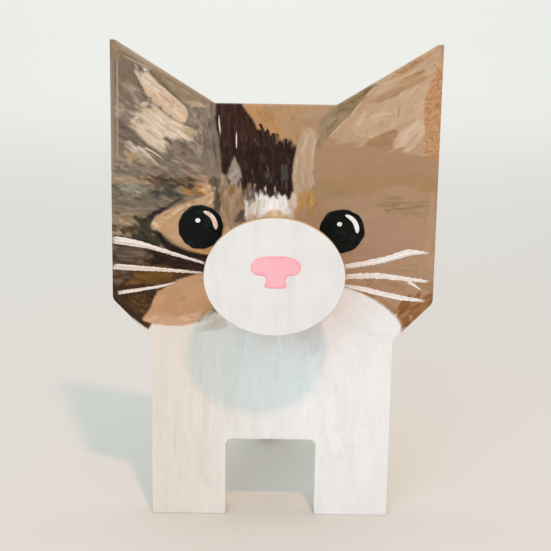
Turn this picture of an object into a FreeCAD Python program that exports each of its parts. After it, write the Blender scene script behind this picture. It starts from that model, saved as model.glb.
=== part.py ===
"""Cat-shaped display stand for one pair of eyeglasses. Millimetres, +Z up.

A plywood cat stands on its two front legs. An oval muzzle stands off in front of the face on a
round-topped block, and the bridge of the glasses sits on that block, between muzzle and face.
Behind the panel one hind leg, pinned in a slotted block, makes the third point of support.
+X is to the right of someone looking at the face, and the face looks towards -Y.
The origin is the middle of the ground under the stand.
"""
import FreeCAD, Part
import math
import os

# Front panel: the outline of the cat, cut from one sheet
panel_thickness = 9.0
ear_tip_height = 162.5
head_top_height = 142.0
cheek_height = 76.5
shoulder_height = 63.3
crotch_height = 27.5
head_width = 108.0
ear_spacing = 40.6
body_width = 82.0
leg_gap = 31.0
ear_tip_radius = 0.5
foot_corner_radius = 0.8
ear_root_radius = 2.0
shoulder_radius = 3.0
crotch_radius = 2.3
sanded_edge = 0.3

# Muzzle: an oval of thinner sheet
muzzle_width = 44.4
muzzle_height = 37.5
muzzle_thickness = 4.0
muzzle_centre_height = 89.7

# Bridge block: carries the muzzle and the bridge of the glasses
bridge_length = 22.0
bridge_width = 8.0
bridge_height = 22.0
bridge_top_height = 107.7

# Hind leg: third point of support, cut from the same sheet
leg_thickness = 9.0
leg_reach = 79.0
leg_top_height = 56.0
leg_root_height = 34.0
foot_length = 10.0
haunch_radius = 36.0
hock_height = 20.0
hock_radius = 16.0
belly_radius = 20.0
foot_radius = 2.0
root_corner_radius = 0.8

# Socket block: holds the root of the hind leg
socket_cheek = 9.0
socket_web = 4.0
socket_depth = 14.0
socket_edge = 1.0

# Wooden pins
pin_diameter = 4.0
muzzle_pin_length = 7.0
muzzle_pin_in_muzzle = 2.4
socket_pin_length = 9.0
socket_pin_in_panel = 4.0
pin_chamfer = 0.4

# Countersunk wood screws
screw_diameter = 3.0
screw_length = 20.0
screw_head_diameter = 6.0
screw_head_height = 1.7
screw_point_length = 3.0
recess_width = 0.9
recess_span = 3.4
recess_depth = 1.0
fastener_heights = (91.5, 101.0)

# Places along Y, from the length over everything
overall_depth = muzzle_thickness + bridge_length + panel_thickness + leg_reach
muzzle_front = -overall_depth / 2
muzzle_back = muzzle_front + muzzle_thickness
panel_front = muzzle_back + bridge_length
panel_back = panel_front + panel_thickness
socket_pin_height = (leg_top_height + leg_root_height) / 2
socket_pin_spacing = leg_thickness + socket_cheek


def in_front_view(x, z):
    """A point of an outline drawn on the plane y = 0."""
    return FreeCAD.Vector(x, 0, z)


def in_side_view(y, z):
    """A point of an outline drawn on the plane x = 0."""
    return FreeCAD.Vector(0, y, z)


def rounded_face(corners, place):
    """A flat face whose corners (across, up, radius) are rounded with tangent arcs."""
    edges = []
    arcs = []
    count = len(corners)
    for index, (across, up, radius) in enumerate(corners):
        corner = place(across, up)
        before = place(*corners[index - 1][:2])
        after = place(*corners[(index + 1) % count][:2])
        to_before = (before - corner).normalize()
        to_after = (after - corner).normalize()
        half_angle = to_before.getAngle(to_after) / 2
        start = corner + to_before * (radius / math.tan(half_angle))
        end = corner + to_after * (radius / math.tan(half_angle))
        inward = (to_before + to_after).normalize()
        middle = corner + inward * (radius / math.sin(half_angle) - radius)
        arcs.append((start, middle, end))
    for index, (start, middle, end) in enumerate(arcs):
        edges.append(Part.LineSegment(arcs[index - 1][2], start).toShape())
        edges.append(Part.Arc(start, middle, end).toShape())
    return Part.Face(Part.Wire(edges))


def mirrored(half):
    """A left half, listed from the centre line outwards, with its mirror image."""
    right = [(-across, up, radius) for across, up, radius in reversed(half)]
    return half + right


def edges_along(shape, axis, level):
    """The edges of a shape that lie wholly in the plane where axis (0, 1, 2) is at level."""
    def in_plane(edge):
        low = (edge.BoundBox.XMin, edge.BoundBox.YMin, edge.BoundBox.ZMin)[axis]
        high = (edge.BoundBox.XMax, edge.BoundBox.YMax, edge.BoundBox.ZMax)[axis]
        return abs(low - level) < 1e-4 and abs(high - level) < 1e-4
    return [edge for edge in shape.Edges if in_plane(edge)]


def cylinder(diameter, length, start, direction):
    """A round bar that runs from start along direction."""
    return Part.makeCylinder(diameter / 2, length, FreeCAD.Vector(*start), FreeCAD.Vector(*direction))


def screw_blank(height):
    """The space that one countersunk screw fills, its head flush with the back of the panel."""
    head_cone = screw_head_diameter / 2 - screw_diameter / 2
    origin = FreeCAD.Vector(0, panel_back, height)
    forward = FreeCAD.Vector(0, -1, 0)
    head = Part.makeCone(screw_head_diameter / 2, screw_head_diameter / 2 - head_cone,
                         screw_head_height, origin, forward)
    straight = screw_length - screw_point_length
    shank = cylinder(screw_diameter, straight, (0, panel_back, height), (0, -1, 0))
    point_start = FreeCAD.Vector(0, panel_back - straight, height)
    point = Part.makeCone(screw_diameter / 2, 0, screw_point_length, point_start, forward)
    return head.fuse([shank, point]).removeSplitter()


def cross_recess(height):
    """The cross-shaped driver recess in a screw head."""
    deep = recess_depth * 2
    flat = Part.makeBox(recess_span, deep, recess_width)
    flat.translate(FreeCAD.Vector(-recess_span / 2, panel_back - recess_depth, height - recess_width / 2))
    upright = Part.makeBox(recess_width, deep, recess_span)
    upright.translate(FreeCAD.Vector(-recess_width / 2, panel_back - recess_depth, height - recess_span / 2))
    return flat.fuse(upright)


def pin(length, start, direction):
    """A wooden pin with chamfered ends."""
    bar = cylinder(pin_diameter, length, start, direction)
    rims = [edge for edge in bar.Edges if isinstance(edge.Curve, Part.Circle)]
    return bar.makeChamfer(pin_chamfer, rims)


def muzzle_pin_holes():
    """Blind holes for the pins between the muzzle and the bridge block."""
    start = muzzle_back - muzzle_pin_in_muzzle
    return [cylinder(pin_diameter, muzzle_pin_length, (0, start, height), (0, 1, 0))
            for height in fastener_heights]


def socket_pin_holes():
    """Blind holes for the pins between the panel and the socket block."""
    start = panel_back - socket_pin_in_panel
    return [cylinder(pin_diameter, socket_pin_length, (side * socket_pin_spacing / 2, start,
                                                       socket_pin_height), (0, 1, 0))
            for side in (-1, 1)]


def cross_pin_hole():
    """The hole across the socket block and the root of the hind leg."""
    width = leg_thickness + 2 * socket_cheek
    middle = panel_back + (socket_web + socket_depth) / 2
    return cylinder(pin_diameter, width, (-width / 2, middle, socket_pin_height), (1, 0, 0))


def make_front_panel():
    """The cat seen from the front: ears, head, chest and two front legs."""
    half = [
        (-leg_gap / 2, crotch_height, crotch_radius),
        (-leg_gap / 2, 0, foot_corner_radius),
        (-body_width / 2, 0, foot_corner_radius),
        (-body_width / 2, shoulder_height, shoulder_radius),
        (-head_width / 2, cheek_height, shoulder_radius),
        (-head_width / 2, ear_tip_height, ear_tip_radius),
        (-ear_spacing / 2, head_top_height, ear_root_radius),
    ]
    board = rounded_face(mirrored(half), in_front_view).extrude(FreeCAD.Vector(0, panel_thickness, 0))
    board.translate(FreeCAD.Vector(0, panel_front, 0))
    rims = edges_along(board, 1, panel_front) + edges_along(board, 1, panel_back)
    board = board.makeFillet(sanded_edge, rims)
    screws = [screw_blank(height) for height in fastener_heights]
    return board.cut(screws + socket_pin_holes())


def make_muzzle():
    """The oval muzzle, with its edges sanded round."""
    oval = Part.Ellipse(FreeCAD.Vector(0, 0, 0), muzzle_width / 2, muzzle_height / 2)
    disc = Part.Face(Part.Wire(oval.toShape())).extrude(FreeCAD.Vector(0, 0, muzzle_thickness))
    disc = disc.makeFillet(sanded_edge, edges_along(disc, 2, 0) + edges_along(disc, 2, muzzle_thickness))
    disc.rotate(FreeCAD.Vector(0, 0, 0), FreeCAD.Vector(1, 0, 0), 90)
    disc.translate(FreeCAD.Vector(0, muzzle_back, muzzle_centre_height))
    return disc.cut(muzzle_pin_holes())


def make_bridge_block():
    """The block between face and muzzle. Its half-round top is the seat for the bridge."""
    radius = bridge_width / 2
    shoulder = bridge_top_height - radius
    bottom = bridge_top_height - bridge_height
    left_bottom = in_front_view(-radius, bottom)
    right_bottom = in_front_view(radius, bottom)
    left_top = in_front_view(-radius, shoulder)
    right_top = in_front_view(radius, shoulder)
    outline = Part.Wire([
        Part.LineSegment(left_bottom, right_bottom).toShape(),
        Part.LineSegment(right_bottom, right_top).toShape(),
        Part.Arc(right_top, in_front_view(0, bridge_top_height), left_top).toShape(),
        Part.LineSegment(left_top, left_bottom).toShape(),
    ])
    block = Part.Face(outline).extrude(FreeCAD.Vector(0, bridge_length, 0))
    block.translate(FreeCAD.Vector(0, muzzle_back, 0))
    screws = [screw_blank(height) for height in fastener_heights]
    return block.cut(screws + muzzle_pin_holes())


def make_bridge_screws():
    """Two countersunk screws that pull the bridge block against the face."""
    screws = [screw_blank(height).cut(cross_recess(height)) for height in fastener_heights]
    return Part.makeCompound(screws)


def make_muzzle_pins():
    """Two pins that locate the muzzle on the bridge block."""
    start = muzzle_back - muzzle_pin_in_muzzle
    return Part.makeCompound([pin(muzzle_pin_length, (0, start, height), (0, 1, 0))
                              for height in fastener_heights])


def make_leg_socket():
    """The slotted block glued to the back of the panel."""
    width = leg_thickness + 2 * socket_cheek
    height = leg_top_height - leg_root_height
    block = Part.makeBox(width, socket_depth, height)
    block.translate(FreeCAD.Vector(-width / 2, panel_back, leg_root_height))
    rims = edges_along(block, 1, panel_back + socket_depth)
    block = block.makeChamfer(socket_edge, rims)
    slot = Part.makeBox(leg_thickness, socket_depth, height)
    slot.translate(FreeCAD.Vector(-leg_thickness / 2, panel_back + socket_web, leg_root_height))
    return block.cut([slot, cross_pin_hole()] + socket_pin_holes())


def make_socket_pins():
    """Two pins between the panel and the socket block, one in each cheek."""
    start = panel_back - socket_pin_in_panel
    return Part.makeCompound([pin(socket_pin_length, (side * socket_pin_spacing / 2, start,
                                                      socket_pin_height), (0, 1, 0))
                              for side in (-1, 1)])


def make_hind_leg():
    """The hind leg in profile: a flat back, a round haunch and one foot on the ground."""
    root = panel_back + socket_web
    heel = panel_back + leg_reach
    corners = [
        (root, leg_root_height, root_corner_radius),
        (root, leg_top_height, root_corner_radius),
        (heel, leg_top_height, haunch_radius),
        (heel, 0, foot_radius),
        (heel - foot_length, 0, foot_radius),
        (heel - foot_length, hock_height, hock_radius),
        (heel - foot_length - belly_radius, leg_root_height, belly_radius),
    ]
    leg = rounded_face(corners, in_side_view).extrude(FreeCAD.Vector(leg_thickness, 0, 0))
    leg.translate(FreeCAD.Vector(-leg_thickness / 2, 0, 0))
    rims = [edge for side in (-1, 1) for edge in edges_along(leg, 0, side * leg_thickness / 2)
            if edge.BoundBox.YMin > panel_back + socket_depth]
    leg = leg.makeFillet(sanded_edge, rims)
    return leg.cut(cross_pin_hole())


def make_cross_pin():
    """The pin that locks the hind leg in its socket, flush with both cheeks."""
    width = leg_thickness + 2 * socket_cheek
    middle = panel_back + (socket_web + socket_depth) / 2
    return pin(width, (-width / 2, middle, socket_pin_height), (1, 0, 0))


nodes = {
    "front_panel": make_front_panel,
    "muzzle_disc": make_muzzle,
    "bridge_block": make_bridge_block,
    "bridge_screws": make_bridge_screws,
    "muzzle_pins": make_muzzle_pins,
    "leg_socket": make_leg_socket,
    "socket_pins": make_socket_pins,
    "hind_leg": make_hind_leg,
    "cross_pin": make_cross_pin,
}

os.makedirs("parts", exist_ok=True)
for name, make in nodes.items():
    shape = make()
    shape.exportStep("parts/" + name + ".step")
    box = shape.BoundBox
    print(name, "solids", len(shape.Solids), "valid", shape.isValid(), "volume", round(shape.Volume, 1),
          "x %.2f..%.2f y %.2f..%.2f z %.2f..%.2f" % (box.XMin, box.XMax, box.YMin, box.YMax,
                                                      box.ZMin, box.ZMax))
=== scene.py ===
# %% [markdown]
# # A hand-painted eyeglasses stand
# The stand is a plywood cat: a flat cut-out, an oval muzzle held in front of the face by a short
# block, and one hind leg behind. The wood was cut in a CAD model, which is the fixed frame here.
# This lesson gives it its looks. Nearly all of them are acrylic paint laid on by hand, so most of
# the cells below are about brushes. The frame comes first.

# %% Load the fixed frame
import math

import bmesh
import bpy
import numpy as np
from mathutils import Matrix, Vector


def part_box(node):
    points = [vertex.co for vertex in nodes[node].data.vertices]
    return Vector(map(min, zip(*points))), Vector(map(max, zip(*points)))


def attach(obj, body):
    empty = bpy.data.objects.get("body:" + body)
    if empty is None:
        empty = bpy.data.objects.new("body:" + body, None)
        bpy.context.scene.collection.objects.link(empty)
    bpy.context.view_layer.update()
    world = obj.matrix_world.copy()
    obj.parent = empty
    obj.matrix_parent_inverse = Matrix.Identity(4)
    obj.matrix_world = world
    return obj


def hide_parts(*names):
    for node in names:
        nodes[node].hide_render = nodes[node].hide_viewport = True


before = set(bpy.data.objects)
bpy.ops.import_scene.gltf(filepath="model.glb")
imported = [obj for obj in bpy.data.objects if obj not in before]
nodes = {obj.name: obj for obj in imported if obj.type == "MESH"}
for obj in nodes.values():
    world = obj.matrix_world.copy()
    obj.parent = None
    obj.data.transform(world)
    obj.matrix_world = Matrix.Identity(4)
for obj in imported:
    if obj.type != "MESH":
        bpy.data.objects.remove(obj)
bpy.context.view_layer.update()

MM = 0.001
BODY = "root"

# %% [markdown]
# A few helpers are used all the way through. Paint makers give colours as sRGB hex values, while
# the renderer wants linear light, so one function turns one into the other. One function adds any
# shader or geometry node with its settings and its links. One function turns lists of points and
# faces into a mesh object.


# %% Helpers for colours, nodes and pieces
def srgb(hex_colour):
    """An sRGB hex colour as three numbers from 0 to 1, still as a painter mixes them."""
    return np.array([int(hex_colour[i:i + 2], 16) / 255 for i in (1, 3, 5)])


def to_linear(colour):
    """sRGB values, in any array, as linear light."""
    colour = np.asarray(colour, float)
    return np.where(colour <= 0.04045, colour / 12.92, ((colour + 0.055) / 1.055) ** 2.4)


def paint(hex_colour):
    """A hex colour as the linear RGBA that a socket takes."""
    return (*to_linear(srgb(hex_colour)), 1.0)


def link(tree, node, **links):
    """Fills a node's inputs with values, with sockets, or with nodes for their first output."""
    for name, value in links.items():
        name = name.replace("_", " ")
        socket = node.inputs[int(name[2:])] if name.startswith("in") else node.inputs[name]
        if isinstance(value, bpy.types.Node):
            value = value.outputs[0]
        if isinstance(value, bpy.types.NodeSocket):
            tree.links.new(value, socket)
        else:
            socket.default_value = value


def add(tree, kind, settings=None, **links):
    """Adds a node. settings are its properties, its operation, or the stops of its colour ramp."""
    node = tree.nodes.new(kind)
    if isinstance(settings, str):
        node.operation = settings
    elif isinstance(settings, list):
        while len(node.color_ramp.elements) < len(settings):
            node.color_ramp.elements.new(0.5)
        for element, (position, colour) in zip(node.color_ramp.elements, settings):
            element.position = position
            element.color = paint(colour) if isinstance(colour, str) else colour
    else:
        for name, value in (settings or {}).items():
            setattr(node, name, value)
    link(tree, node, **links)
    return node


def material(name, **principled):
    """A new Principled material: (material, tree, its shader node)."""
    made = bpy.data.materials.new(name)
    made.use_nodes = True
    shader = made.node_tree.nodes["Principled BSDF"]
    for socket, value in principled.items():
        shader.inputs[socket.replace("_", " ")].default_value = value
    return made, made.node_tree, shader


def mesh_piece(name, points, faces, finish, smooth=True):
    """A mesh object from points in millimetres. It sits at the origin, as CAD nodes do."""
    mesh = bpy.data.meshes.new(name)
    mesh.from_pydata([tuple(MM * np.asarray(p)) for p in points], [], faces)
    mesh.materials.append(finish)
    mesh.polygons.foreach_set("use_smooth", [smooth] * len(mesh.polygons))
    mesh.update()
    piece = bpy.data.objects.new(name, mesh)
    bpy.context.scene.collection.objects.link(piece)
    return piece


# %% [markdown]
# The sizes that paint and camera need are read from the frame, in millimetres: the head and body
# of the panel, and the oval of the muzzle. The outline's own corners repeat the CAD design.

# %% Sizes from the frame
panel_low, panel_high = (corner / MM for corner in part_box("front_panel"))
muzzle_low, muzzle_high = (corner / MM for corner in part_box("muzzle_disc"))
PANEL_FRONT, PANEL_BACK = panel_low.y, panel_high.y
HEAD_HALF = panel_high.x
MUZZLE_FRONT = muzzle_low.y
MUZZLE_CENTRE = (muzzle_low.z + muzzle_high.z) / 2
EAR_TIP, HEAD_TOP, CHEEK, SHOULDER, CROTCH = 162.5, 142.0, 76.5, 63.3, 27.5
EAR_ROOT, BODY_HALF, GAP_HALF = 20.3, 41.0, 15.5
SANDED = 0.3
print("panel %.1f wide, front at y %.1f; muzzle centre at z %.1f"
      % (2 * HEAD_HALF, PANEL_FRONT, MUZZLE_CENTRE))

# %% [markdown]
# The camera stands a forearm's length in front of the cat, a little above its ears, and looks
# slightly down. A long lens keeps the panel's sides nearly parallel.

# %% Camera
CAMERA_PLACE = Vector((-4.64, PANEL_FRONT - 362.7, 156.5)) * MM
PITCH, YAW, ROLL = (math.radians(angle) for angle in (11.10, 0.84, 0.96))
SENSOR, FOCAL = 36.0, 71.9

lens = bpy.data.cameras.new("portrait_lens")
lens.sensor_width, lens.lens = SENSOR, FOCAL
camera = bpy.data.objects.new("camera", lens)
aim = Matrix.Rotation(-YAW, 4, "Z") @ Matrix.Rotation(math.pi / 2 - PITCH, 4, "X")
camera.matrix_world = Matrix.Translation(CAMERA_PLACE) @ aim @ Matrix.Rotation(ROLL, 4, "Z")
bpy.context.scene.collection.objects.link(camera)
bpy.context.scene.camera = camera
print("camera", [round(v / MM) for v in camera.location], "mm")

# %% [markdown]
# The light is a soft studio: a bright room, a big cool fill from the front, a wash on the wall and
# a small warm key lamp high in front and a little to the right. The key throws the muzzle's shadow
# on the chest, and because the fill is cooler, the shadow reads as pale blue. That is light, not
# paint. Floor and wall are one matt sheet that curves up behind, a little darker where it lies flat.


# %% Light, floor and backdrop
def lamp(name, place, target, size, power, colour):
    """A round area lamp, size mm wide, at place (mm), turned towards target."""
    light = bpy.data.lights.new(name, "AREA")
    light.shape, light.size, light.energy = "DISK", size * MM, power
    light.color = paint(colour)[:3]
    holder = bpy.data.objects.new(name, light)
    holder.location = Vector(place) * MM
    holder.rotation_euler = (Vector(target) - Vector(place)).to_track_quat("-Z", "Y").to_euler()
    bpy.context.scene.collection.objects.link(holder)


KEY_RISE, KEY_TURN, KEY_RANGE = math.radians(51), math.radians(12), 900
chest = Vector((0, PANEL_FRONT, 75))
key_way = Vector((math.sin(KEY_TURN) * math.cos(KEY_RISE), -math.cos(KEY_TURN) * math.cos(KEY_RISE),
                  math.sin(KEY_RISE)))
lamp("warm_key", chest + key_way * KEY_RANGE, chest, 60, 2.9, "#ffbb9c")
lamp("cool_fill", (-350, -900, 420), chest, 700, 3.0, "#aee6ff")
lamp("wall_wash", (0, 300, 1500), (0, 1650, 500), 1200, 9.0, "#f6f8fd")

room = bpy.data.worlds.new("pale_room")
room.use_nodes = True
room.node_tree.nodes["Background"].inputs["Color"].default_value = paint("#f2fbfd")
room.node_tree.nodes["Background"].inputs["Strength"].default_value = 0.7
bpy.context.scene.world = room
bpy.context.scene.view_settings.view_transform = "Standard"

WALL_STARTS = 120    # mm above the floor, where the floor's tone has turned into the wall's
floor_paint, tree, shader = material("matt_painted_backdrop", Roughness=0.9)
place = add(tree, "ShaderNodeTexCoord").outputs["Object"]
height = add(tree, "ShaderNodeSeparateXYZ", Vector=place).outputs["Z"]
rise = add(tree, "ShaderNodeMapRange", {"interpolation_type": "SMOOTHSTEP"}, in0=height, in1=0.0,
           in2=WALL_STARTS * MM)
link(tree, shader, Base_Color=add(tree, "ShaderNodeValToRGB", [(0.0, "#dbd8d1"), (1.0, "#ebe9e3")],
                                  in0=rise))
COVE_START, COVE_RADIUS, COVE_HEIGHT, COVE_HALF = 350, 1300, 2600, 3500
profile = [(-1500, 0)] + [(COVE_START + COVE_RADIUS * math.sin(a), COVE_RADIUS * (1 - math.cos(a)))
                          for a in np.linspace(0, math.pi / 2, 13)]
profile.append((COVE_START + COVE_RADIUS, COVE_HEIGHT))
cove_points = [(x, y, z) for y, z in profile for x in (-COVE_HALF, COVE_HALF)]
cove_faces = [(2 * i, 2 * i + 1, 2 * i + 3, 2 * i + 2) for i in range(len(profile) - 1)]
floor = mesh_piece("floor", cove_points, cove_faces, floor_paint)
print("stage:", len(profile), "bends in the backdrop")

# %% [markdown]
# ## The canvas
# The face is painted before there is any mesh to carry it. The canvas is a fine grid of cells, in
# millimetres across the panel, that holds a colour and a thickness of paint in each cell. Painting
# could be done with shader nodes, one mask for each patch, but a real brush leaves bristle tracks,
# ragged ends and ridges that overlap, and a short function that lays one stroke gives all three.

# %% An empty canvas
CELL = 0.25
CANVAS_X = np.arange(-HEAD_HALF - 1, HEAD_HALF + 1, CELL)
CANVAS_Z = np.arange(-1, EAR_TIP + 1, CELL)
colours = np.ones((len(CANVAS_Z), len(CANVAS_X), 3)) * srgb("#efece8")
relief = np.zeros((len(CANVAS_Z), len(CANVAS_X)))
hand = np.random.default_rng(11)
print("canvas of", colours.shape[:2], "cells")


# %% [markdown]
# One stroke runs from start to end, with a bend. Across its width every bristle has its own start,
# its own end and its own share of paint, so the ends are ragged and the middle is streaked. The
# load of paint makes the ridges: a real acrylic stroke stands a tenth of a millimetre proud.


# %% One brush stroke
EDGE_BLUR, END_BLUR = 0.35, 0.6  # mm over which the sides and the ends of a stroke fade
LEVELS_OUT = 0.7                 # how far a new stroke flattens the ridges below it


def smooth_step(value):
    """An S curve from 0 to 1."""
    value = np.clip(value, 0, 1)
    return value * value * (3 - 2 * value)


def bristles(position, pitch, low, high):
    """Smooth random numbers across a brush, one for each bristle pitch."""
    index = position / pitch
    base = np.floor(index).astype(int)
    draws = hand.uniform(low, high, base.max() - base.min() + 3)
    share = smooth_step(index - base)
    first = base - base.min()
    return draws[first] * (1 - share) + draws[first + 1] * share


def stroke(start, end, width, colour, bend=0.0, cover=0.9, load=0.04, ragged=0.2, streak=0.08,
           bristle=0.45, taper=0.35):
    """Lays one stroke from start to end (mm). colour is a hex colour or an sRGB triple."""
    tone = srgb(colour) if isinstance(colour, str) else np.asarray(colour)
    start, end = np.asarray(start, float), np.asarray(end, float)
    run = end - start
    length = math.hypot(*run)
    way = run / length
    reach = width / 2 + abs(bend) + 0.5
    low, high = np.minimum(start, end) - reach, np.maximum(start, end) + reach
    cols = slice(*np.searchsorted(CANVAS_X, (low[0], high[0])))
    rows = slice(*np.searchsorted(CANVAS_Z, (low[1], high[1])))
    x, z = np.meshgrid(CANVAS_X[cols] - start[0], CANVAS_Z[rows] - start[1])
    if x.size == 0:
        return
    along = (x * way[0] + z * way[1]) / length
    across = z * way[0] - x * way[1] - bend * 4 * along * (1 - along)
    narrow = 1 - taper * (2 * np.clip(along, 0, 1) - 1) ** 2
    rim = np.abs(across) / (width / 2 * narrow)
    edge = smooth_step((1 - rim) * width / 2 / EDGE_BLUR)
    begins = bristles(across, bristle, 0, ragged)
    ends = bristles(across, bristle, 0, ragged)
    soft = END_BLUR / length
    inside = smooth_step((along - begins) / soft) * smooth_step((1 - ends - along) / soft)
    paint_share = bristles(across + along * 0.4, bristle, 1 - 2.2 * streak, 1.0)
    mask = np.clip(edge * inside * cover * paint_share, 0, 1)
    shade = bristles(across, bristle, -streak, streak)
    laid = np.clip(tone + shade[..., None] * (0.35 + 0.65 * tone), 0, 1)
    here = colours[rows, cols]
    here += (laid - here) * mask[..., None]
    ridge = bristles(across, bristle, 0.4, 1.0) * (0.55 + 0.45 * smooth_step(rim))
    level = relief[rows, cols]
    level += (load * ridge + 0.3 * level.mean() - level) * mask * LEVELS_OUT


# %% [markdown]
# A painter fills an area with many strokes that point roughly one way. An area here is a polygon,
# or a smooth curve through a few points. To scrub lets the strokes run a little past it, as over a
# ground, and to fill gives it an undercoat and a clean edge, as for a marking. To speckle is to dab
# with a nearly dry brush, which leaves paint only on the high spots of the grain.


# %% Areas of strokes
UNDERCOAT = 0.95                    # cover of the coat under a filled area
SPECK_COVER, SPECK_RISE = 0.8, 0.05


def polygon_mask(corners, x, z):
    """Whether points lie inside a polygon."""
    inside = np.zeros(np.shape(x), bool)
    for (x0, z0), (x1, z1) in zip(corners, corners[1:] + corners[:1]):
        if z0 != z1:
            crosses = ((z0 > z) != (z1 > z)) & (x < (x1 - x0) * (z - z0) / (z1 - z0) + x0)
            inside ^= crosses
    return inside


def smoothed(ring, between=6):
    """A closed Catmull-Rom curve through the points of a ring."""
    ring = [np.asarray(point, float) for point in ring]
    found = []
    for i in range(len(ring)):
        p0, p1, p2, p3 = (ring[(i + k) % len(ring)] for k in (-1, 0, 1, 2))
        for t in np.linspace(0, 1, between, endpoint=False):
            found.append(0.5 * (2 * p1 + (p2 - p0) * t + (2 * p0 - 5 * p1 + 4 * p2 - p3) * t ** 2
                                + (3 * p1 - p0 - 3 * p2 + p3) * t ** 3))
    return np.array(found)


def scrub(corners, count, length, width, angle, tones, spread=8.0, vary=0.02, **brush):
    """Lays strokes all over a polygon, a little past its edge. angle: degrees, or a function."""
    corners = [tuple(map(float, corner)) for corner in corners]
    lows, highs = np.min(corners, 0), np.max(corners, 0)
    laid = 0
    while laid < count:
        x, z = hand.uniform(lows, highs)
        if not polygon_mask(corners, x, z):
            continue
        turn = angle(x, z) if callable(angle) else angle
        turn = math.radians(turn + hand.normal(0, spread))
        half = length * hand.uniform(0.6, 1.1) / 2
        step = np.array([math.cos(turn), math.sin(turn)]) * half
        tone = srgb(tones[hand.integers(len(tones))]) * hand.normal(1, vary)
        stroke((x, z) - step, (x, z) + step, width * hand.uniform(0.7, 1.2), tone,
               bend=hand.normal(0, 0.06) * length, **brush)
        laid += 1


def fill(corners, count, length, width, angle, tones, spread=8.0, **brush):
    """Scrubs over an undercoat of the first tone, and lets nothing past the polygon's edge."""
    corners = [tuple(map(float, corner)) for corner in corners]
    share = polygon_mask(corners, *np.meshgrid(CANVAS_X, CANVAS_Z)).astype(float)
    share[1:-1, 1:-1] = (share[1:-1, 1:-1] * 2 + share[:-2, 1:-1] + share[2:, 1:-1]
                         + share[1:-1, :-2] + share[1:-1, 2:]) / 6
    below, level_below = colours.copy(), relief.copy()
    colours[:] += (srgb(tones[0]) - colours) * share[..., None] * UNDERCOAT
    scrub(corners, count, length, width, angle, tones, spread, **brush)
    colours[:] = below + (colours - below) * share[..., None]
    relief[:] = level_below + (relief - level_below) * share


def speckle(corners, share, tones, cells=2):
    """Dry-brush specks: a share of the small squares inside a polygon takes one of the tones."""
    mask = polygon_mask(corners, *np.meshgrid(CANVAS_X, CANVAS_Z))
    rows, cols = mask.shape
    draws = hand.random((rows // cells + 1, cols // cells + 1))
    draws = np.kron(draws, np.ones((cells, cells)))[:rows, :cols]
    for number, tone in enumerate(tones):
        low = number * share / len(tones)
        chosen = mask & (draws >= low) & (draws < low + share / len(tones))
        colours[chosen] += (srgb(tone) - colours[chosen]) * SPECK_COVER
        relief[chosen] += SPECK_RISE


# %% [markdown]
# ### Ground coat
# A painter first covers the sheet: white on the body, warm grey-brown on the left of the head and
# light tan on the right. The white is laid with a wide flat brush in upright strokes, whose streaks
# barely show, and it is warmer on the left leg than on the right. Three brushes return all the way
# through: a calm one that hides its tracks, a hairy one with split ends, and a fine loaded one.

# %% Ground coat
CALM = {"streak": 0.012, "load": 0.012, "vary": 0.008}
HAIRY = {"streak": 0.12, "ragged": 0.4, "load": 0.06}
FINE = {"cover": 0.95, "ragged": 0.15, "load": 0.10, "streak": 0.02}
body_area = [(-42, -1), (42, -1), (42, 64), (52, 76), (-52, 76), (-42, 64)]
scrub(body_area, 420, 26, 6.5, 90, ["#f3f2ef", "#f1efec", "#f4f4f2"], 2, **CALM)
scrub([(-41, 0), (41, 0), (41, 62), (-41, 62)], 46, 18, 0.9, 90, ["#e3dfd9", "#e8e5e0", "#f8f7f5"], 1,
      cover=0.25, ragged=0.4, load=0.04)
warm = smooth_step((12 - CANVAS_X) / 50)[None, :, None]
colours *= 1 + warm * (srgb("#e7ddd0") / srgb("#f1efec") - 1)
head_left = [(-56, 74), (-12, 74), (-12, 143), (-20, 144), (-56, 165)]
head_right = [(-14, 74), (56, 74), (56, 165), (20, 144), (-14, 144)]
scrub(head_left, 420, 16, 5.5, 25, ["#85725f", "#7f6e5c", "#8d7a68"], 25, streak=0.06)
scrub(head_right, 420, 20, 7.0, 25, ["#b08e6e", "#ad8b6b", "#b18f70"], 20, **CALM)
print("ground coat laid")

# %% [markdown]
# ### Left ear
# The left ear is taupe with a paler line along its edges. Peach and cream hairs fan from the tip
# down to the right in two broad locks, with thin dark hairs between them, and upright grey strokes
# separate the ear from the forehead.

# %% Left ear
left_ear = [(-54, 118), (-19, 118), (-19, 143), (-54, 163)]
scrub(left_ear, 190, 11, 2.4, -42, ["#7f6e5c", "#7a6a59", "#857462", "#75685a"], 8, streak=0.07)
scrub([(-53, 143), (-49, 143), (-44, 139), (-47, 134), (-53, 137)], 46, 8, 1.2, -36,
      ["#a39382", "#94836f", "#74665a", "#b3a38f"], 8, **HAIRY)
scrub([(-49.5, 147.5), (-46, 146.5), (-39.5, 141), (-44, 140.5)], 30, 8, 0.9, -38,
      ["#a4947e", "#b9aa95", "#94846d", "#665a4e"], 6, **HAIRY)
scrub([(-52, 137), (-47.6, 134), (-44, 129), (-52, 128.6)], 30, 7, 1.4, -44,
      ["#6d5f52", "#62554a", "#83745f"], 8, **HAIRY)
print("left ear's ground laid")

# %% [markdown]
# Under the ear's outer edge lies a tan wedge with a dark line below it. Beside it the peach lock is
# filled first and then combed with thin strokes, paler and darker, that all run down to the right.

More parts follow.
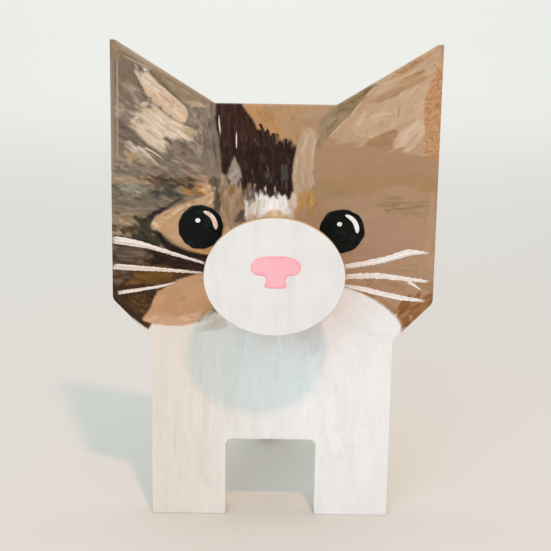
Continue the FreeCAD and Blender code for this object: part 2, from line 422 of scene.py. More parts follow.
# %% Wedge and peach lock
tan_wedge = [(-41.6, 152.7), (-36.2, 149.9), (-33, 148.3), (-27.3, 145.2), (-21.6, 142.1), (-22, 140.9),
             (-27.3, 140.6), (-29.7, 141.9), (-33, 145.1), (-36.6, 147.8), (-39.4, 150.2)]
fill(tan_wedge, 70, 8, 1.5, -36, ["#a08a6c", "#947f62", "#ab9678", "#89765a"], 6, streak=0.10)
scrub([(-30, 142.6), (-22, 142), (-22, 141), (-28, 141)], 12, 5, 1.0, -14, ["#b99f84", "#c0a88d"], 6,
      **HAIRY)
wedge_edge = [(-41.6, 152.7), (-39.4, 150.6), (-37.4, 149), (-34.6, 145.9), (-31.3, 142.3),
              (-28.1, 140.4), (-22, 140.7)]
for start, end in zip(wedge_edge, wedge_edge[1:]):
    stroke(start, end, 0.9, "#6a5c44", bend=0.1, ragged=0.05, load=0.08)
peach_lock = [(-46.2, 153.2), (-43.9, 151.2), (-41.7, 151.9), (-40.2, 150), (-38.6, 148.2),
              (-36.8, 146.6), (-34.6, 144.7), (-32.6, 143.3), (-30.5, 141.9), (-29.1, 140.3),
              (-28.6, 138.3), (-29.1, 136.7), (-29.9, 135.7), (-31.8, 136.3), (-33.6, 137.6),
              (-35.4, 139.2), (-37.2, 140.6), (-39.1, 142.2), (-40.7, 143.6), (-41.9, 144.6),
              (-42.8, 145.7), (-43.5, 147.1), (-44.5, 148.9), (-45.5, 151.3)]
fill(peach_lock, 150, 8, 1.7, -43, ["#d6b89b", "#dec3aa", "#ceaf8f", "#d0ae8a"], 6, streak=0.08)
scrub([(-44, 150.5), (-41, 150.5), (-30, 139), (-32, 137.6)], 44, 6, 0.7, -44,
      ["#efdfcf", "#e6cdb6", "#bb9774", "#c79f78"], 7, **FINE)
scrub([(-47, 154), (-44.4, 153), (-42.6, 148), (-44.6, 149.4)], 14, 5, 0.55, -58,
      ["#e9dfd3", "#ded0be", "#4f443b"], 6, cover=0.95, ragged=0.1, load=0.10, streak=0.02)
print("peach lock painted")

# %% [markdown]
# The cream lock ends in two points. Dark hairs lie on the ear below it, and a few single strokes,
# dark between the locks and nearly white on them, are laid one by one.

# %% Cream lock
cream_lock = [(-46.6, 141.3), (-44, 140.1), (-41.5, 140.1), (-39.7, 140.8), (-37.9, 139.8),
              (-35.4, 137.8), (-33, 136.2), (-30.1, 135.3), (-27.3, 134.1), (-24.4, 133.1),
              (-24, 131.9), (-25.2, 130.3), (-27.3, 129.8), (-29.7, 130.4), (-32.2, 131),
              (-33.8, 131.3), (-35.4, 131.9), (-36.5, 131.3), (-35.4, 129.7), (-34.6, 127.7),
              (-35.4, 125.8), (-37.1, 125.8), (-39.5, 127.2), (-42, 128.8), (-44, 130.8),
              (-45.6, 132.4), (-47.1, 134), (-47.4, 136), (-46, 137.6), (-45, 138.9)]
fill(cream_lock, 150, 8, 1.9, -34, ["#d3bba2", "#dcc8b2", "#c9b191", "#d8bea2"], 7, streak=0.08)
fill([(-30, 134), (-24.6, 133), (-24.6, 130.6), (-30, 130.8)], 24, 6, 1.3, -24, ["#b49d7d", "#c0aa8a"],
     6, **HAIRY)
scrub([(-46, 139.6), (-41, 140), (-29, 132), (-36, 127.5)], 60, 7, 0.7, -36,
      ["#f0e6d9", "#e6d6c3", "#b5997a", "#c4a684"], 8, **FINE)
scrub([(-48.6, 142), (-45, 141), (-43, 134), (-47.6, 133)], 26, 5, 0.8, -40,
      ["#cdbba5", "#b8a792", "#7a6b5c", "#8f806f"], 8, **HAIRY)
scrub([(-35.4, 130), (-25, 129.6), (-23.4, 124), (-36, 125)], 70, 6, 0.9, -36,
      ["#6f6151", "#54473b", "#928370", "#7a6b5a", "#a3937d"], 9, **HAIRY)
for start, end, width, tone in (
        ((-39.5, 141.2), (-35.0, 137.7), 0.6, "#4f4339"),
        ((-35.2, 137.9), (-31.0, 135.4), 0.6, "#5a4c42"),
        ((-31.3, 135.6), (-24.2, 134.6), 0.7, "#4f4339"),
        ((-28.4, 134.9), (-25.0, 133.9), 0.5, "#5a4c42"),
        ((-46.1, 131.4), (-41.4, 127.7), 0.7, "#4f4339"),
        ((-42.0, 128.1), (-37.4, 125.2), 0.6, "#5a4c42"),
        ((-37.3, 132.1), (-32.2, 129.6), 0.7, "#f4eee6"),
        ((-44.9, 149.8), (-43.4, 146.6), 0.6, "#463b33"),
        ((-43.2, 152.0), (-40.2, 149.6), 0.6, "#e6d6c6"),
        ((-33.0, 131.0), (-28.4, 128.0), 0.5, "#4f4339"),
        ((-42.0, 145.4), (-36.6, 140.8), 0.5, "#8a7663"),
        ((-40.6, 150.6), (-35.2, 145.4), 0.5, "#8a7558")):
    stroke(start, end, width, tone, bend=hand.normal(0, 0.3), ragged=0.15, load=0.10, streak=0.02)
print("cream lock painted")

# %% [markdown]
# Ochre and pale hairs lie at the foot of the ear, upright grey ones part it from the forehead, and
# long strokes draw the paler line along its outer edges.

# %% Foot and edges of the left ear
scrub([(-49, 127.4), (-46, 126), (-42, 122.6), (-49, 122.6)], 30, 5, 1.4, -40,
      ["#b59c7c", "#c2a67b", "#a88f70"], 8, **HAIRY)
scrub([(-52, 130), (-47, 128.6), (-38, 123.4), (-41, 122.8)], 34, 7, 0.8, -33,
      ["#cfc2b0", "#b5a793", "#e3d9cb", "#9f917d"], 6, **HAIRY)
scrub([(-28.5, 140), (-24, 140), (-22.6, 124), (-26, 124)], 60, 7, 1.0, 108,
      ["#8f7f6b", "#a1927c", "#6f6051", "#aa9a84"], 9, **HAIRY)
scrub([(-23.4, 141.6), (-19.8, 141.6), (-19.2, 119), (-23, 119)], 90, 9, 1.1, 92,
      ["#75675a", "#837464", "#65584c", "#8f8070"], 5, **HAIRY)
stroke((-53.2, 77), (-53.2, 160), 1.7, "#a08a73", cover=0.95, ragged=0.02)
stroke((-51.9, 119), (-51.6, 157.2), 0.8, "#b9a58b", cover=0.9, ragged=0.04, load=0.08)
stroke((-53.4, 161.2), (-20.0, 142.3), 2.6, "#97836c", cover=0.95, ragged=0.02)
stroke((-50.8, 157.6), (-39.4, 152.4), 0.9, "#bba88a", bend=-0.2, ragged=0.1, load=0.08)
stroke((-48, 158.4), (-38, 152.6), 1.4, "#9c8f78", bend=-0.1, ragged=0.3)
scrub([(-53.6, 156.5), (-51, 156), (-49.5, 158.6), (-53.6, 162)], 22, 4, 1.6, -60,
      ["#9c8165", "#a0886b", "#937a5f"], 10, cover=0.7)
print("left ear painted")

# %% [markdown]
# ### Left cheek
# Below the ear the coat is tabby: grey-green, taupe and tan streaks that sweep back from the eye, a
# tan almond round the eye with dark lids, and near-black stripes between the whiskers. Under them a
# warm tan lobe runs into the white chest.


# %% Left cheek
def sweep_back(x, z):
    """Hairs on the left cheek lie flat at the edge of the face and droop towards the eye."""
    return -4 - 10 * (z - 100) / 20 - 10 * (x + 54) / 30


brow = [(-54, 102), (-38, 104), (-30, 112), (-19, 116), (-20, 120), (-54, 121)]
scrub(brow, 150, 11, 2.4, sweep_back, ["#7c6f5e", "#857764", "#8f806b", "#766a5b"], 8, streak=0.08)
for corners, count, tones in (
        ([(-53.8, 116.1), (-52.8, 117.7), (-41.6, 118.3), (-40, 116.1), (-47.8, 115), (-53.6, 114.9)], 30,
         ["#a58a6c", "#b39675", "#c0a488"]),
        ([(-43.7, 117.5), (-40.4, 119.4), (-33, 119.4), (-27.2, 117.9), (-24.3, 115.1),
          (-27.2, 113.4), (-31.3, 113.7), (-35.5, 114.8), (-40.4, 115.9)], 60,
         ["#5a4632", "#453322", "#6b5138", "#3a2b1e"]),
        ([(-31.3, 119.9), (-27.2, 120.6), (-20.2, 117.2), (-19.8, 115.1), (-23.1, 114.7),
          (-27.2, 117.9)], 30,
         ["#a58069", "#b08a72", "#9a7a66"]),
        ([(-29.7, 113.5), (-24.7, 114.6), (-23.1, 112.2), (-27.2, 111.1)], 20,
         ["#9c6f3f", "#8a5f35", "#a87a4a"]),
        ([(-24.3, 113.8), (-22.7, 116.1), (-20, 116.6), (-19.8, 109.7), (-23.1, 110.5)], 20,
         ["#c9a27a", "#d3ad86"]),
        ([(-53.8, 115.4), (-43.7, 114.7), (-33, 114.3), (-29.7, 112.5), (-31.4, 110.2),
          (-39.6, 110.5), (-47.9, 111.2), (-53.8, 112.3)], 60,
         ["#595345", "#524c41", "#676052", "#746c59"]),
        ([(-40.4, 113.9), (-33, 114.3), (-30.9, 111.6), (-39.6, 111)], 26,
         ["#45413a", "#393630", "#504a3e"]),
        ([(-51.6, 114.6), (-43.7, 115.6), (-42.3, 113.1), (-45.4, 111.8), (-50.3, 112.9)], 28,
         ["#968d7b", "#a59b88", "#857c6a"]),
        ([(-53.9, 112), (-29.7, 110.6), (-35.5, 107.8), (-41.7, 105.2), (-53.9, 105)], 60,
         ["#776955", "#6c5e4c", "#867763", "#5d5140"])):
    scrub(corners, count, 7, 1.1, sweep_back, tones, 9, **HAIRY)
scrub([(-53, 123.5), (-25, 123.5), (-23, 119), (-53, 118.6)], 80, 8, 1.0, -22,
      ["#93826e", "#6e6254", "#a3937d", "#7c6d5b"], 10, **HAIRY)
scrub([(-53, 105.5), (-46, 106), (-44, 100), (-53, 98.5)], 50, 7, 1.5, -16,
      ["#a08868", "#8f7859", "#b09678", "#7c664c"], 12, **HAIRY)
scrub([(-45.5, 104), (-40.5, 104.5), (-36.5, 97.5), (-40, 94.5), (-46, 97)], 70, 6, 1.8, -50,
      ["#38352a", "#2c281e", "#453e2e", "#333022"], 12, streak=0.08, ragged=0.3)
scrub([(-53.8, 99.2), (-49.7, 97.7), (-45.2, 97), (-38.6, 95.7), (-37.2, 93.5),
          (-40.8, 94.6), (-48, 96.3), (-53.8, 97.9)], 60, 2.4, 0.8, -24,
      ["#1f1812", "#2f271f", "#39302a"], 26, ragged=0.3)
scrub([(-53.8, 100), (-47, 98.6), (-40, 96.6), (-40, 99.4), (-47, 101), (-53.8, 101.6)], 50, 4, 1.1, -22,
      ["#4b3b2a", "#3a2c1e", "#5d4c38"], 16, ragged=0.4)
print("tabby coat laid")

# %% [markdown]
# The almond is plain tan, lighter along the top. The lids are short near-black strokes over its
# left corner, and a darker band closes it below.

# %% Almond of the left eye
almond = smoothed([(-41, 101.8), (-38.6, 105.1), (-33.8, 107.8), (-28.2, 110.1), (-20.5, 112.4),
                   (-15, 110), (-15, 97), (-21, 92.2), (-27.3, 93.4), (-33, 95.8), (-36.6, 98.6)], 4)
fill(almond, 150, 6, 2.4, 22, ["#c69f78", "#c0986f", "#cba47d"], 14, **CALM)
scrub([(-38, 104), (-30, 109), (-20, 112), (-20, 110), (-31, 106.5)], 26, 6, 1.3, 30,
      ["#d8bc9a", "#cfae88", "#b68d63"], 8, **HAIRY)
scrub([(-27, 92.6), (-20, 92), (-19, 94.5), (-26, 94.5)], 12, 5, 1.3, -8, ["#b98746", "#c08f52"], 6)
for start, end, width, tone in (
        ((-41.7, 104.5), (-38, 107.1), 1.5, "#211812"),
        ((-41.1, 105.2), (-35.5, 107.8), 1.1, "#281f18"),
        ((-38.4, 105.4), (-33, 109.5), 0.8, "#33291f"),
        ((-36.3, 107.5), (-29.7, 111.2), 0.8, "#33291f"),
        ((-33.6, 109.9), (-29.7, 111.2), 1.2, "#46443f"),
        ((-41.7, 103.5), (-39.6, 105.3), 1.2, "#211812"),
        ((-39.2, 105.3), (-36.7, 106.3), 0.8, "#281f18")):
    stroke(start, end, width, tone, bend=0.2, ragged=0.2, load=0.09)
stroke((-41.6, 103.8), (-33.6, 109.2), 1.3, "#2a2019", bend=0.3, ragged=0.3, streak=0.15)
stroke((-36.8, 107.4), (-30.2, 111.0), 1.0, "#33291f", bend=0.2, ragged=0.3, streak=0.15)
scrub([(-40.8, 101), (-38.6, 104.2), (-37.2, 103.6), (-38.4, 99.8)], 12, 5, 0.7, -30,
      ["#d8bc9a", "#c69f78", "#e0c8a8"], 8, **HAIRY)
under_eye = smoothed([(-39.5, 100.6), (-37.4, 98.4), (-33.4, 95.2), (-27.3, 92.9), (-20.5, 91.8),
                      (-19, 89.4), (-27, 89.4), (-32, 91), (-36.2, 93.8)], 4)
fill(under_eye, 80, 6, 2.0, -28, ["#22140c", "#1c100a", "#2e1d13"], 8, streak=0.05)
print("left eye's almond painted")

# %% [markdown]
# Between the whiskers the coat darkens from grey-brown to deep brown, in stripes that droop a
# little, and the corner of the cheek is the darkest.

# %% Stripes of the left cheek
scrub([(-54, 88.5), (-38, 87.5), (-24, 87), (-24, 89.5), (-40, 93.5), (-54, 95.5)], 80, 11, 1.9, -6,
      ["#4f3d2d", "#5d4c3d", "#422f1e"], 5, streak=0.10, ragged=0.3)
scrub([(-54, 89), (-44, 88.5), (-44, 94), (-54, 95.5)], 26, 8, 1.4, -5,
      ["#655548", "#5a4a3c", "#736253"], 5, **HAIRY)
scrub([(-42, 88), (-23, 86.6), (-23, 89.6), (-38, 92.4)], 60, 9, 1.7, -12,
      ["#2b1710", "#3f2416", "#23120b"], 4, streak=0.08)
scrub([(-54, 80), (-34, 82), (-25, 85.6), (-54, 87)], 90, 10, 1.9, -2,
      ["#503418", "#4a2f17", "#5d3f1c", "#3f2a18"], 6, streak=0.10, ragged=0.3)
scrub([(-54, 80), (-49, 80), (-49, 86.8), (-54, 87)], 16, 5, 1.5, -4, ["#6b5c50", "#5e5045"], 6, **HAIRY)
scrub([(-47, 82), (-35, 82.6), (-35, 86), (-47, 86)], 18, 6, 1.9, -3,
      ["#6b4a20", "#5d3f1c", "#74531f"], 9)
dark_corner = [(-54.5, 81.2), (-46, 81.6), (-39, 81.4), (-39, 72), (-42, 66), (-55, 76)]
fill(dark_corner, 130, 6, 2.0, -38, ["#3f2a17", "#4b3118", "#352212"], 12, streak=0.10)
scrub([(-49, 78), (-43, 78), (-41, 73), (-46, 72)], 14, 5, 1.5, -30, ["#5d4020", "#6b4a24"], 12,
      ragged=0.4)
print("stripes painted")

# %% [markdown]
# The lobe is warm tan in broad calm strokes, lighter along its lower edge, where it meets the white
# of the chest.

# %% Lobe of the left cheek
lobe = smoothed([(-23, 85.8), (-28.6, 84.7), (-32.5, 83.1), (-35.8, 81.3), (-38.6, 79.2),
                 (-40.3, 76.9), (-41.2, 74), (-43.2, 71.1), (-44.2, 69.3), (-39.8, 68), (-31.9, 67.6),
                 (-27.4, 68.4), (-24, 70.1), (-20.7, 72.9), (-18.4, 75.5), (-18.5, 85.2)], 3)
fill(lobe, 130, 8, 3.4, 18, ["#c2956f", "#be916b", "#c69b76"], 14, **CALM)
fill([(-44, 69.4), (-42.6, 71.4), (-31.9, 70.8), (-24, 72.5), (-24, 70.1), (-27.4, 68.4),
          (-31.9, 67.6), (-39.8, 67.9)], 40, 9, 2.2, 4,
      ["#cfa583", "#d3ab8a", "#c99e7b"], 6, streak=0.03)
# The grey-tan fringe at the lobe's lower right, beside the muzzle, is painted shade: the muzzle's shadow
# on the cheek, laid into the paint.
scrub([(-25.2, 69.1), (-20.7, 72.9), (-17.3, 70.3), (-15.6, 68), (-20.6, 66.2),
          (-25.2, 66.7)], 20, 7, 2.4, 20,
      ["#d3bdaa", "#dccabb"], 12, cover=0.45, ragged=0.4, streak=0.03)
print("left cheek painted")

# %% [markdown]
# ### Forehead
# A dark brown patch drops from the top edge between the ears and fans out above the nose. It has a
# solid undercoat whose edge is a row of brush tips, and loose strokes over it, warm brown above and
# nearly grey below. White tips reach up between the dark ones, and ochre warms the tan above.

# %% Forehead
scrub([(-13, 126), (6, 126), (16, 130), (20, 142), (-13, 142)], 100, 9, 4.0, 14,
      ["#b09070", "#ae8c69", "#b39374"], 14, **CALM)
scrub([(-12, 138), (-5, 132), (2, 131), (3, 136), (-6, 142), (-13, 142)], 50, 6, 2.6, -52,
      ["#b88a5e", "#bd8f60", "#b3875a", "#c09466"], 12, streak=0.06)
scrub([(-20, 100), (-9, 100), (-9, 118), (-19, 120)], 70, 7, 2.2, 80,
      ["#a18870", "#95795a", "#a8937a", "#8b6d4a"], 12, streak=0.08, ragged=0.35)
scrub([(-20.6, 102), (-18.2, 102), (-17.8, 117), (-20.6, 118)], 24, 7, 1.6, 88,
      ["#514533", "#5b5142", "#453a2e"], 6, **HAIRY)
scrub([(-12.5, 101), (-9, 101), (-9, 107), (-13, 106)], 12, 5, 1.5, 60, ["#5b4c40", "#6b5a48"], 9)
scrub([(-9, 103), (7, 103), (7, 112), (-9, 112)], 60, 7, 2.6, 88, ["#e4dcd2", "#d8cabb", "#cdb79f"], 8,
      streak=0.05)
scrub([(-10, 110), (-5, 110), (-5, 116), (-10, 116)], 20, 5, 1.4, 86,
      ["#c9b49e", "#e8e0d8", "#b59f8a"], 6,
      **HAIRY)
white_tips = [(-5, 106), (-4.6, 112.4), (-3.1, 116.4), (-1.6, 111.6), (0.3, 116), (1.8, 112.8),
              (3.1, 114.2), (4.2, 110.8), (5.2, 106)]
fill(white_tips, 80, 5, 1.5, 88, ["#f3eeea", "#ebe5df", "#f8f5f2"], 5, streak=0.05, load=0.07)
print("forehead's ground laid")

# %% [markdown]
# The patch is one filled area with a fringed lower edge. Its hairs hang down and fan out from its
# top left corner, so their angle is a function of the place.

# %% The dark patch
patch = [(-19.6, 142.3), (-19.7, 140.1), (-19.8, 136.8), (-19.3, 133.6), (-18.5, 131.2),
         (-18.2, 127.9), (-17.9, 124.6), (-17.7, 120.5), (-16.7, 118.7), (-15.5, 120.6),
         (-14.5, 123.1), (-13.5, 125.3), (-12.4, 123.1), (-11.4, 120.6), (-10.9, 118.2),
         (-10.5, 115.7), (-9.8, 113.6), (-9.3, 115.7), (-8.9, 116.5), (-6.6, 116.2), (-5.9, 113.7),
         (-5.3, 111.2), (-4.5, 112.5), (-3.7, 115), (-2.9, 115.8), (-2.4, 113.7), (-1.5, 111.2),
         (-0.5, 112.5), (0, 115.4), (0.5, 115.4), (1.1, 113.4), (2.2, 112.3), (3.6, 112.8),
         (4.3, 111.3), (4.9, 111.1), (5.7, 113.9), (6, 116.8), (5.5, 120.1), (5.9, 123.4),
         (6.5, 125.8), (7, 127.5), (6.7, 129.9), (6.1, 127.9), (5.4, 128.3), (4.7, 130.2),
         (3.9, 129.7), (3.1, 129.5), (2.1, 129.3), (1.4, 130.3), (0.9, 132.5), (-0.2, 132.9),
         (-1.3, 132.3), (-1.9, 131.8), (-2.5, 133.1), (-3.5, 133.4), (-4.8, 134), (-6.2, 134),
         (-6.8, 135.4), (-7.7, 137.2), (-9.1, 139), (-10.6, 141), (-11.6, 142.4)]


def fan_down(x, z):
    """Hairs of the dark patch hang down and spread from its top left corner."""
    return -84 + 1.1 * (x + 12) - 0.05 * (142 - z) * (x + 12) / 10


fill(patch, 280, 8, 3.0, fan_down, ["#28150d", "#2d1a12"], 4, streak=0.02, ragged=0.1, cover=1.0)
fill([(-19.5, 142), (-12, 142), (-7, 136), (-4, 128), (-18, 128)], 90, 9, 1.0, fan_down,
      ["#3d2217", "#4a3026", "#24120c", "#331c14"], 3, **HAIRY)
scrub([(-18, 130), (-4, 133), (6, 129), (5, 113), (-9, 113), (-17, 120)], 190, 6, 1.0, fan_down,
      ["#341f17", "#1d0f09", "#46322a", "#2a1811"], 4, streak=0.08, ragged=0.35, load=0.09, cover=0.85)
fill([(1.8, 122.5), (4, 122.9), (4.7, 115.1), (2.1, 114.2)], 26, 6, 1.2, -88,
      ["#4c4541", "#57504b", "#403935"], 4, **HAIRY)
scrub([(-3.1, 121.2), (-1.9, 121.2), (-1.6, 116.6), (-2.9, 116.2)], 10, 5, 0.9, -88,
      ["#5e5553", "#6a605c"], 4, **HAIRY)
scrub([(-9.7, 115.7), (-6.6, 115.9), (-5.9, 111.6), (-9, 110.3)], 20, 6, 1.2, -88,
      ["#6b5e56", "#7a6d61", "#564a43"], 4, **HAIRY)
notch = [(-15.9, 118.5), (-14.5, 122.2), (-13.5, 124.9), (-11.4, 121), (-11.4, 118.2), (-12.6, 115.4),
         (-14.4, 116.5)]
fill(notch, 30, 4, 1.2, 72, ["#9f9184", "#b5a89b", "#8f8073"], 8)
print("dark patch filled")

# %% [markdown]
# Single hairs finish the patch: a few nearly white, some reddish brown near the top and some black
# further down.

# %% Single hairs on the patch
for start, end, width, tone in (
        ((-18.7, 138.5), (-18, 131.6), 0.55, "#f3ece6"),
        ((-12.9, 133.3), (-12.8, 127.2), 0.55, "#efe8e2"),
        ((-7.4, 131.6), (-5.5, 128.3), 0.5, "#a3948b"),
        ((-9.6, 132.3), (-9.4, 129.6), 0.45, "#8f8078"),
        ((-7.7, 122.5), (-7.4, 118.6), 0.45, "#8a7c74"),
        ((-15.7, 140.5), (-15.2, 132.9), 0.5, "#6d4638"),
        ((-14.4, 141.4), (-12.5, 134.5), 0.5, "#5f3b2e"),
        ((-10.8, 140.2), (-8.5, 134.6), 0.5, "#664235"),
        ((-13.7, 131.7), (-12.9, 125.1), 0.7, "#140b08"),
        ((-8.6, 126), (-8.3, 119), 0.6, "#150c09"),
        ((-17.6, 127.9), (-17.4, 121), 0.5, "#5a4a42"),
        ((-16.2, 129.6), (-15.7, 127.1), 0.4, "#7a6a62"),
        ((-1.8, 125.7), (-1.4, 119.1), 0.5, "#150c09"),
        ((4.1, 120.9), (4.4, 115.5), 0.5, "#77706e"),
        ((-11.3, 134.5), (-10.3, 128), 0.5, "#4f3026"),
        ((-5.5, 125.7), (-5.1, 119.9), 0.5, "#4a3a34")):
    stroke(start, end, width, tone, load=0.10, ragged=0.1, streak=0.02, taper=0.6)
scrub([(-6.4, 106), (-3.4, 106), (-3.4, 113), (-6.4, 113)], 18, 5, 1.0, 88,
      ["#e6ddd2", "#d3c4b2", "#f0eae2"], 5, **HAIRY)
scrub([(-1, 131), (8, 129), (9, 142), (1, 142)], 40, 6, 1.4, -80, ["#b98c5c", "#b08c66", "#bf9566"], 8,
      cover=0.55, streak=0.08, ragged=0.4)
print("forehead painted")

# %% [markdown]
# ### Right ear
# The right side is calmer. Broad strokes of tan and beige sweep up into the ear over an olive
# shadow, with a paler leaf where the light falls on the inner ear.

# %% Right ear
scrub([(20, 124), (54, 122), (54, 162), (26, 144)], 90, 18, 5.0, 46,
      ["#bb9c7d", "#b99a7b", "#bd9f80"], 8, **CALM)
pale_tan = smoothed([(33.7, 148.7), (37.9, 150.7), (45.4, 154.5), (50.7, 156.7), (52.9, 156.2),
                     (50.9, 151.4), (48.5, 144.9), (48.5, 139.5), (46, 138.4), (38.5, 135.1),
                     (34.2, 132.8), (29.9, 131.7), (26, 132.7), (24.8, 134.8), (26.4, 138.1),
                     (29.6, 141.4), (31.1, 144.7)], 3)
fill(pale_tan, 70, 9, 3.0, 50, ["#c3a486", "#c6a98b", "#bfa081"], 10, streak=0.04)
scrub([(31.7, 143.1), (44.9, 152.4), (45.5, 151), (38.1, 146.4), (32.8, 142.5)], 18, 12, 1.8, 26,
      ["#ae8b69", "#b39070", "#a98560"], 4, streak=0.06, ragged=0.35)
fill(smoothed([(29.9, 130.6), (34.2, 132.8), (38.5, 134.6), (40.2, 134), (39.5, 130.7), (37.7, 128),
                (34.4, 126.8), (28.9, 127.3)], 3), 30, 8, 2.0, 24,
      ["#a98562", "#a5815e", "#ad8a67"], 8, streak=0.05)
leaf = smoothed([(40.2, 132.9), (43.4, 135.7), (47.1, 138.4), (48.7, 137.4), (48.6, 133),
                 (46.4, 129.7), (43.2, 127.2), (38.7, 129.3)], 3)
fill(leaf, 40, 7, 1.8, 44, ["#cfb296", "#d2b79c", "#c8aa8c"], 6, streak=0.06, load=0.06)
scrub([(28.9, 145.2), (33.2, 146.3), (32.8, 142), (27.4, 139.8), (25.8, 140.8)], 18, 4, 1.4, 60,
      ["#b5956a", "#b89871", "#bb9a74"], 14, cover=0.5, ragged=0.4)
olive = [(20, 142.4), (25.6, 145.6), (31.5, 148.7), (33.1, 149.4), (31.5, 147.1), (26.3, 141.4),
         (20.5, 134.8), (17, 131.2), (13.9, 126.2), (13.3, 132.5), (14.9, 137.9), (17.8, 141.2)]
fill(olive, 80, 7, 1.8, 48, ["#a08868", "#998161", "#a58d6e", "#957c5c"], 7, streak=0.07)
scrub([(21.3, 142.9), (31.5, 148.3), (28.4, 144.6), (23.1, 140.2), (20.9, 139.6)], 24, 7, 1.3, 40,
      ["#87714f", "#8d7654", "#806a49"], 5, **HAIRY)
scrub([(17.6, 140.7), (20.9, 139.6), (18.8, 134.7), (14.6, 130.3), (13.9, 134.7)], 24, 6, 1.4, 52,
      ["#a38c6f", "#948064", "#8f795b"], 8, **HAIRY)
print("right ear's areas filled")

# %% [markdown]
# Pale lines cross the ear, each a single stroke with its own bend. The outer edge is dabbed, not
# brushed: specks in orange and beige over a thin coat.

# %% Lines and dry edge of the right ear
stroke((31, 149.2), (51, 161.2), 1.7, "#a98a64", cover=0.9, ragged=0.05, streak=0.10)
speckle([(36.8, 152.2), (47.4, 158.2), (48, 157.2), (40.1, 152), (37.9, 151.5)], 0.5,
        ["#a3723f", "#cda070", "#8f6a45"])
scrub([(48.1, 159.6), (50.3, 160.3), (50.4, 157.5), (48.5, 156.9)], 14, 2, 1.3, 80,
      ["#b9935f", "#bf9a6a"], 14, cover=0.8)
for start, end, width, bend, tone in (
        ((17.3, 131.5), (24.2, 138.6), 0.9, 0.2, "#cdb18c"),
        ((24.2, 138.6), (28.6, 144.3), 1, 0.1, "#d3b893"),
        ((28.6, 144.3), (33.1, 149), 1, 0.2, "#cfb391"),
        ((33.1, 149), (44.9, 153.2), 0.8, -0.2, "#d3b896"),
        ((25.9, 134.9), (29.7, 138.3), 1, 0.4, "#d0b494"),
        ((29.7, 138.3), (38.3, 139.8), 0.9, 0.3, "#d6bb9b"),
        ((27.2, 133.9), (38.4, 138.7), 0.7, 0.8, "#ceb08e"),
        ((27.1, 132.7), (33.7, 133.2), 0.7, -0.6, "#d3b693"),
        ((30.1, 132.1), (32.6, 132.5), 0.6, -0.2, "#ead6bc"),
        ((39.9, 143.1), (40.1, 137), 0.5, 0, "#8f7153"),
        ((38.4, 137.2), (48.4, 140.1), 0.8, 0.4, "#c9ab88"),
        ((40.8, 133.5), (45.6, 135.2), 0.7, 0.3, "#d9c1a6"),
        ((36.6, 126.6), (42.1, 126.3), 0.6, 0.2, "#87694b"),
        ((42.1, 126.3), (49.1, 125.3), 0.5, 0.1, "#87694b"),
        ((37.8, 125.9), (48.8, 124.7), 0.7, 0.2, "#c9ab85"),
        ((40.9, 130.7), (46.1, 136.3), 0.6, 0.3, "#dcc5aa")):
    stroke(start, end, width, tone, bend=bend, **FINE)
dry_edge = [(50.9, 151.3), (53.9, 156), (54.1, 149.3), (54.2, 124.4), (48.9, 124.3), (49, 127.6),
            (49.3, 133.1), (48.3, 137.4), (48.6, 144.9), (49.9, 149.2)]
speckle([(50.2, 156.2), (53.8, 157.3), (54.1, 149.3), (54.2, 124.4), (48.4, 124.3),
          (48.5, 133), (47.8, 137.4), (48.2, 144.9), (49.7, 149.2)], 0.3,
        ["#b07d50", "#dcb88f", "#c08c5e"])
fill(dry_edge, 90, 3, 1.6, 86, ["#bd8c60", "#c29168", "#b8865c"], 10, cover=0.8, streak=0.08)
speckle(dry_edge, 0.55, ["#cea883", "#a8784e", "#c79c73", "#a5754c", "#cba279"])
print("right ear painted")

# %% [markdown]
# The right cheek is a calm tan. A curl of pale strokes comes down beside the forehead patch, a few
# faint lines cross the cheek, and its lower corner is rust brown beside the white lobe.

# %% Right cheek
scrub([(14, 108), (52, 108), (52, 124), (14, 128)], 80, 18, 5.0, 14, ["#a98768", "#ab8969", "#a98867"],
      8, **CALM)
scrub([(16, 113), (53, 113), (53, 121), (16, 118)], 30, 14, 3.4, 6, ["#a9875d", "#a48560"], 7,
      cover=0.6, **CALM)
curl = smoothed([(10.5, 134.9), (8, 131.6), (6.6, 127), (5.8, 121), (6.0, 115.4), (8.4, 111.4),
                 (12.5, 115.4), (12.2, 120), (12.6, 127.2), (13.4, 132.6)], 4)
fill(curl, 70, 9, 2.0, 96, ["#bca084", "#b89b7f", "#c2a88c"], 6, streak=0.04, ragged=0.3)
for start, end, width, bend, tone in (
        ((10.6, 134.6), (7.4, 126.0), 1.0, 0.9, "#d3bca2"),
        ((7.0, 126.0), (6.0, 118.6), 0.7, 0.5, "#e0cfba"),
        ((6.0, 119.0), (6.9, 116.8), 0.5, 0.2, "#efe4d6"),
        ((13.4, 132.8), (12.2, 120.0), 0.9, -0.5, "#d6c1a8"),
        ((12.0, 120.4), (13.8, 114.8), 0.8, -0.3, "#d9c5ac"),
        ((10.4, 130), (9.6, 114), 1.0, 0.6, "#b89b7e")):
    stroke(start, end, width, tone, bend=bend, load=0.10, ragged=0.2, cover=0.85)
scrub([(7, 107), (13, 107), (13, 114), (8, 113)], 20, 6, 2.0, 76, ["#b98b50", "#b58f5c"], 12, cover=0.8)
scrub([(22, 84), (53, 84), (53, 112), (22, 112)], 120, 20, 5.0, 4,
      ["#ad8c6f", "#b08e70", "#ab8a6c", "#ae8b70"], 6, **CALM)
scrub([(34, 106), (52, 107), (52, 113), (36, 112)], 26, 11, 1.6, 3, ["#99795a", "#a08062", "#a58467"], 5,
      ragged=0.45, streak=0.10, cover=0.75)
scrub([(49, 84), (54, 84), (54, 112), (50, 112)], 26, 9, 1.8, 88, ["#ab8a6c", "#b69578"], 5, cover=0.6)
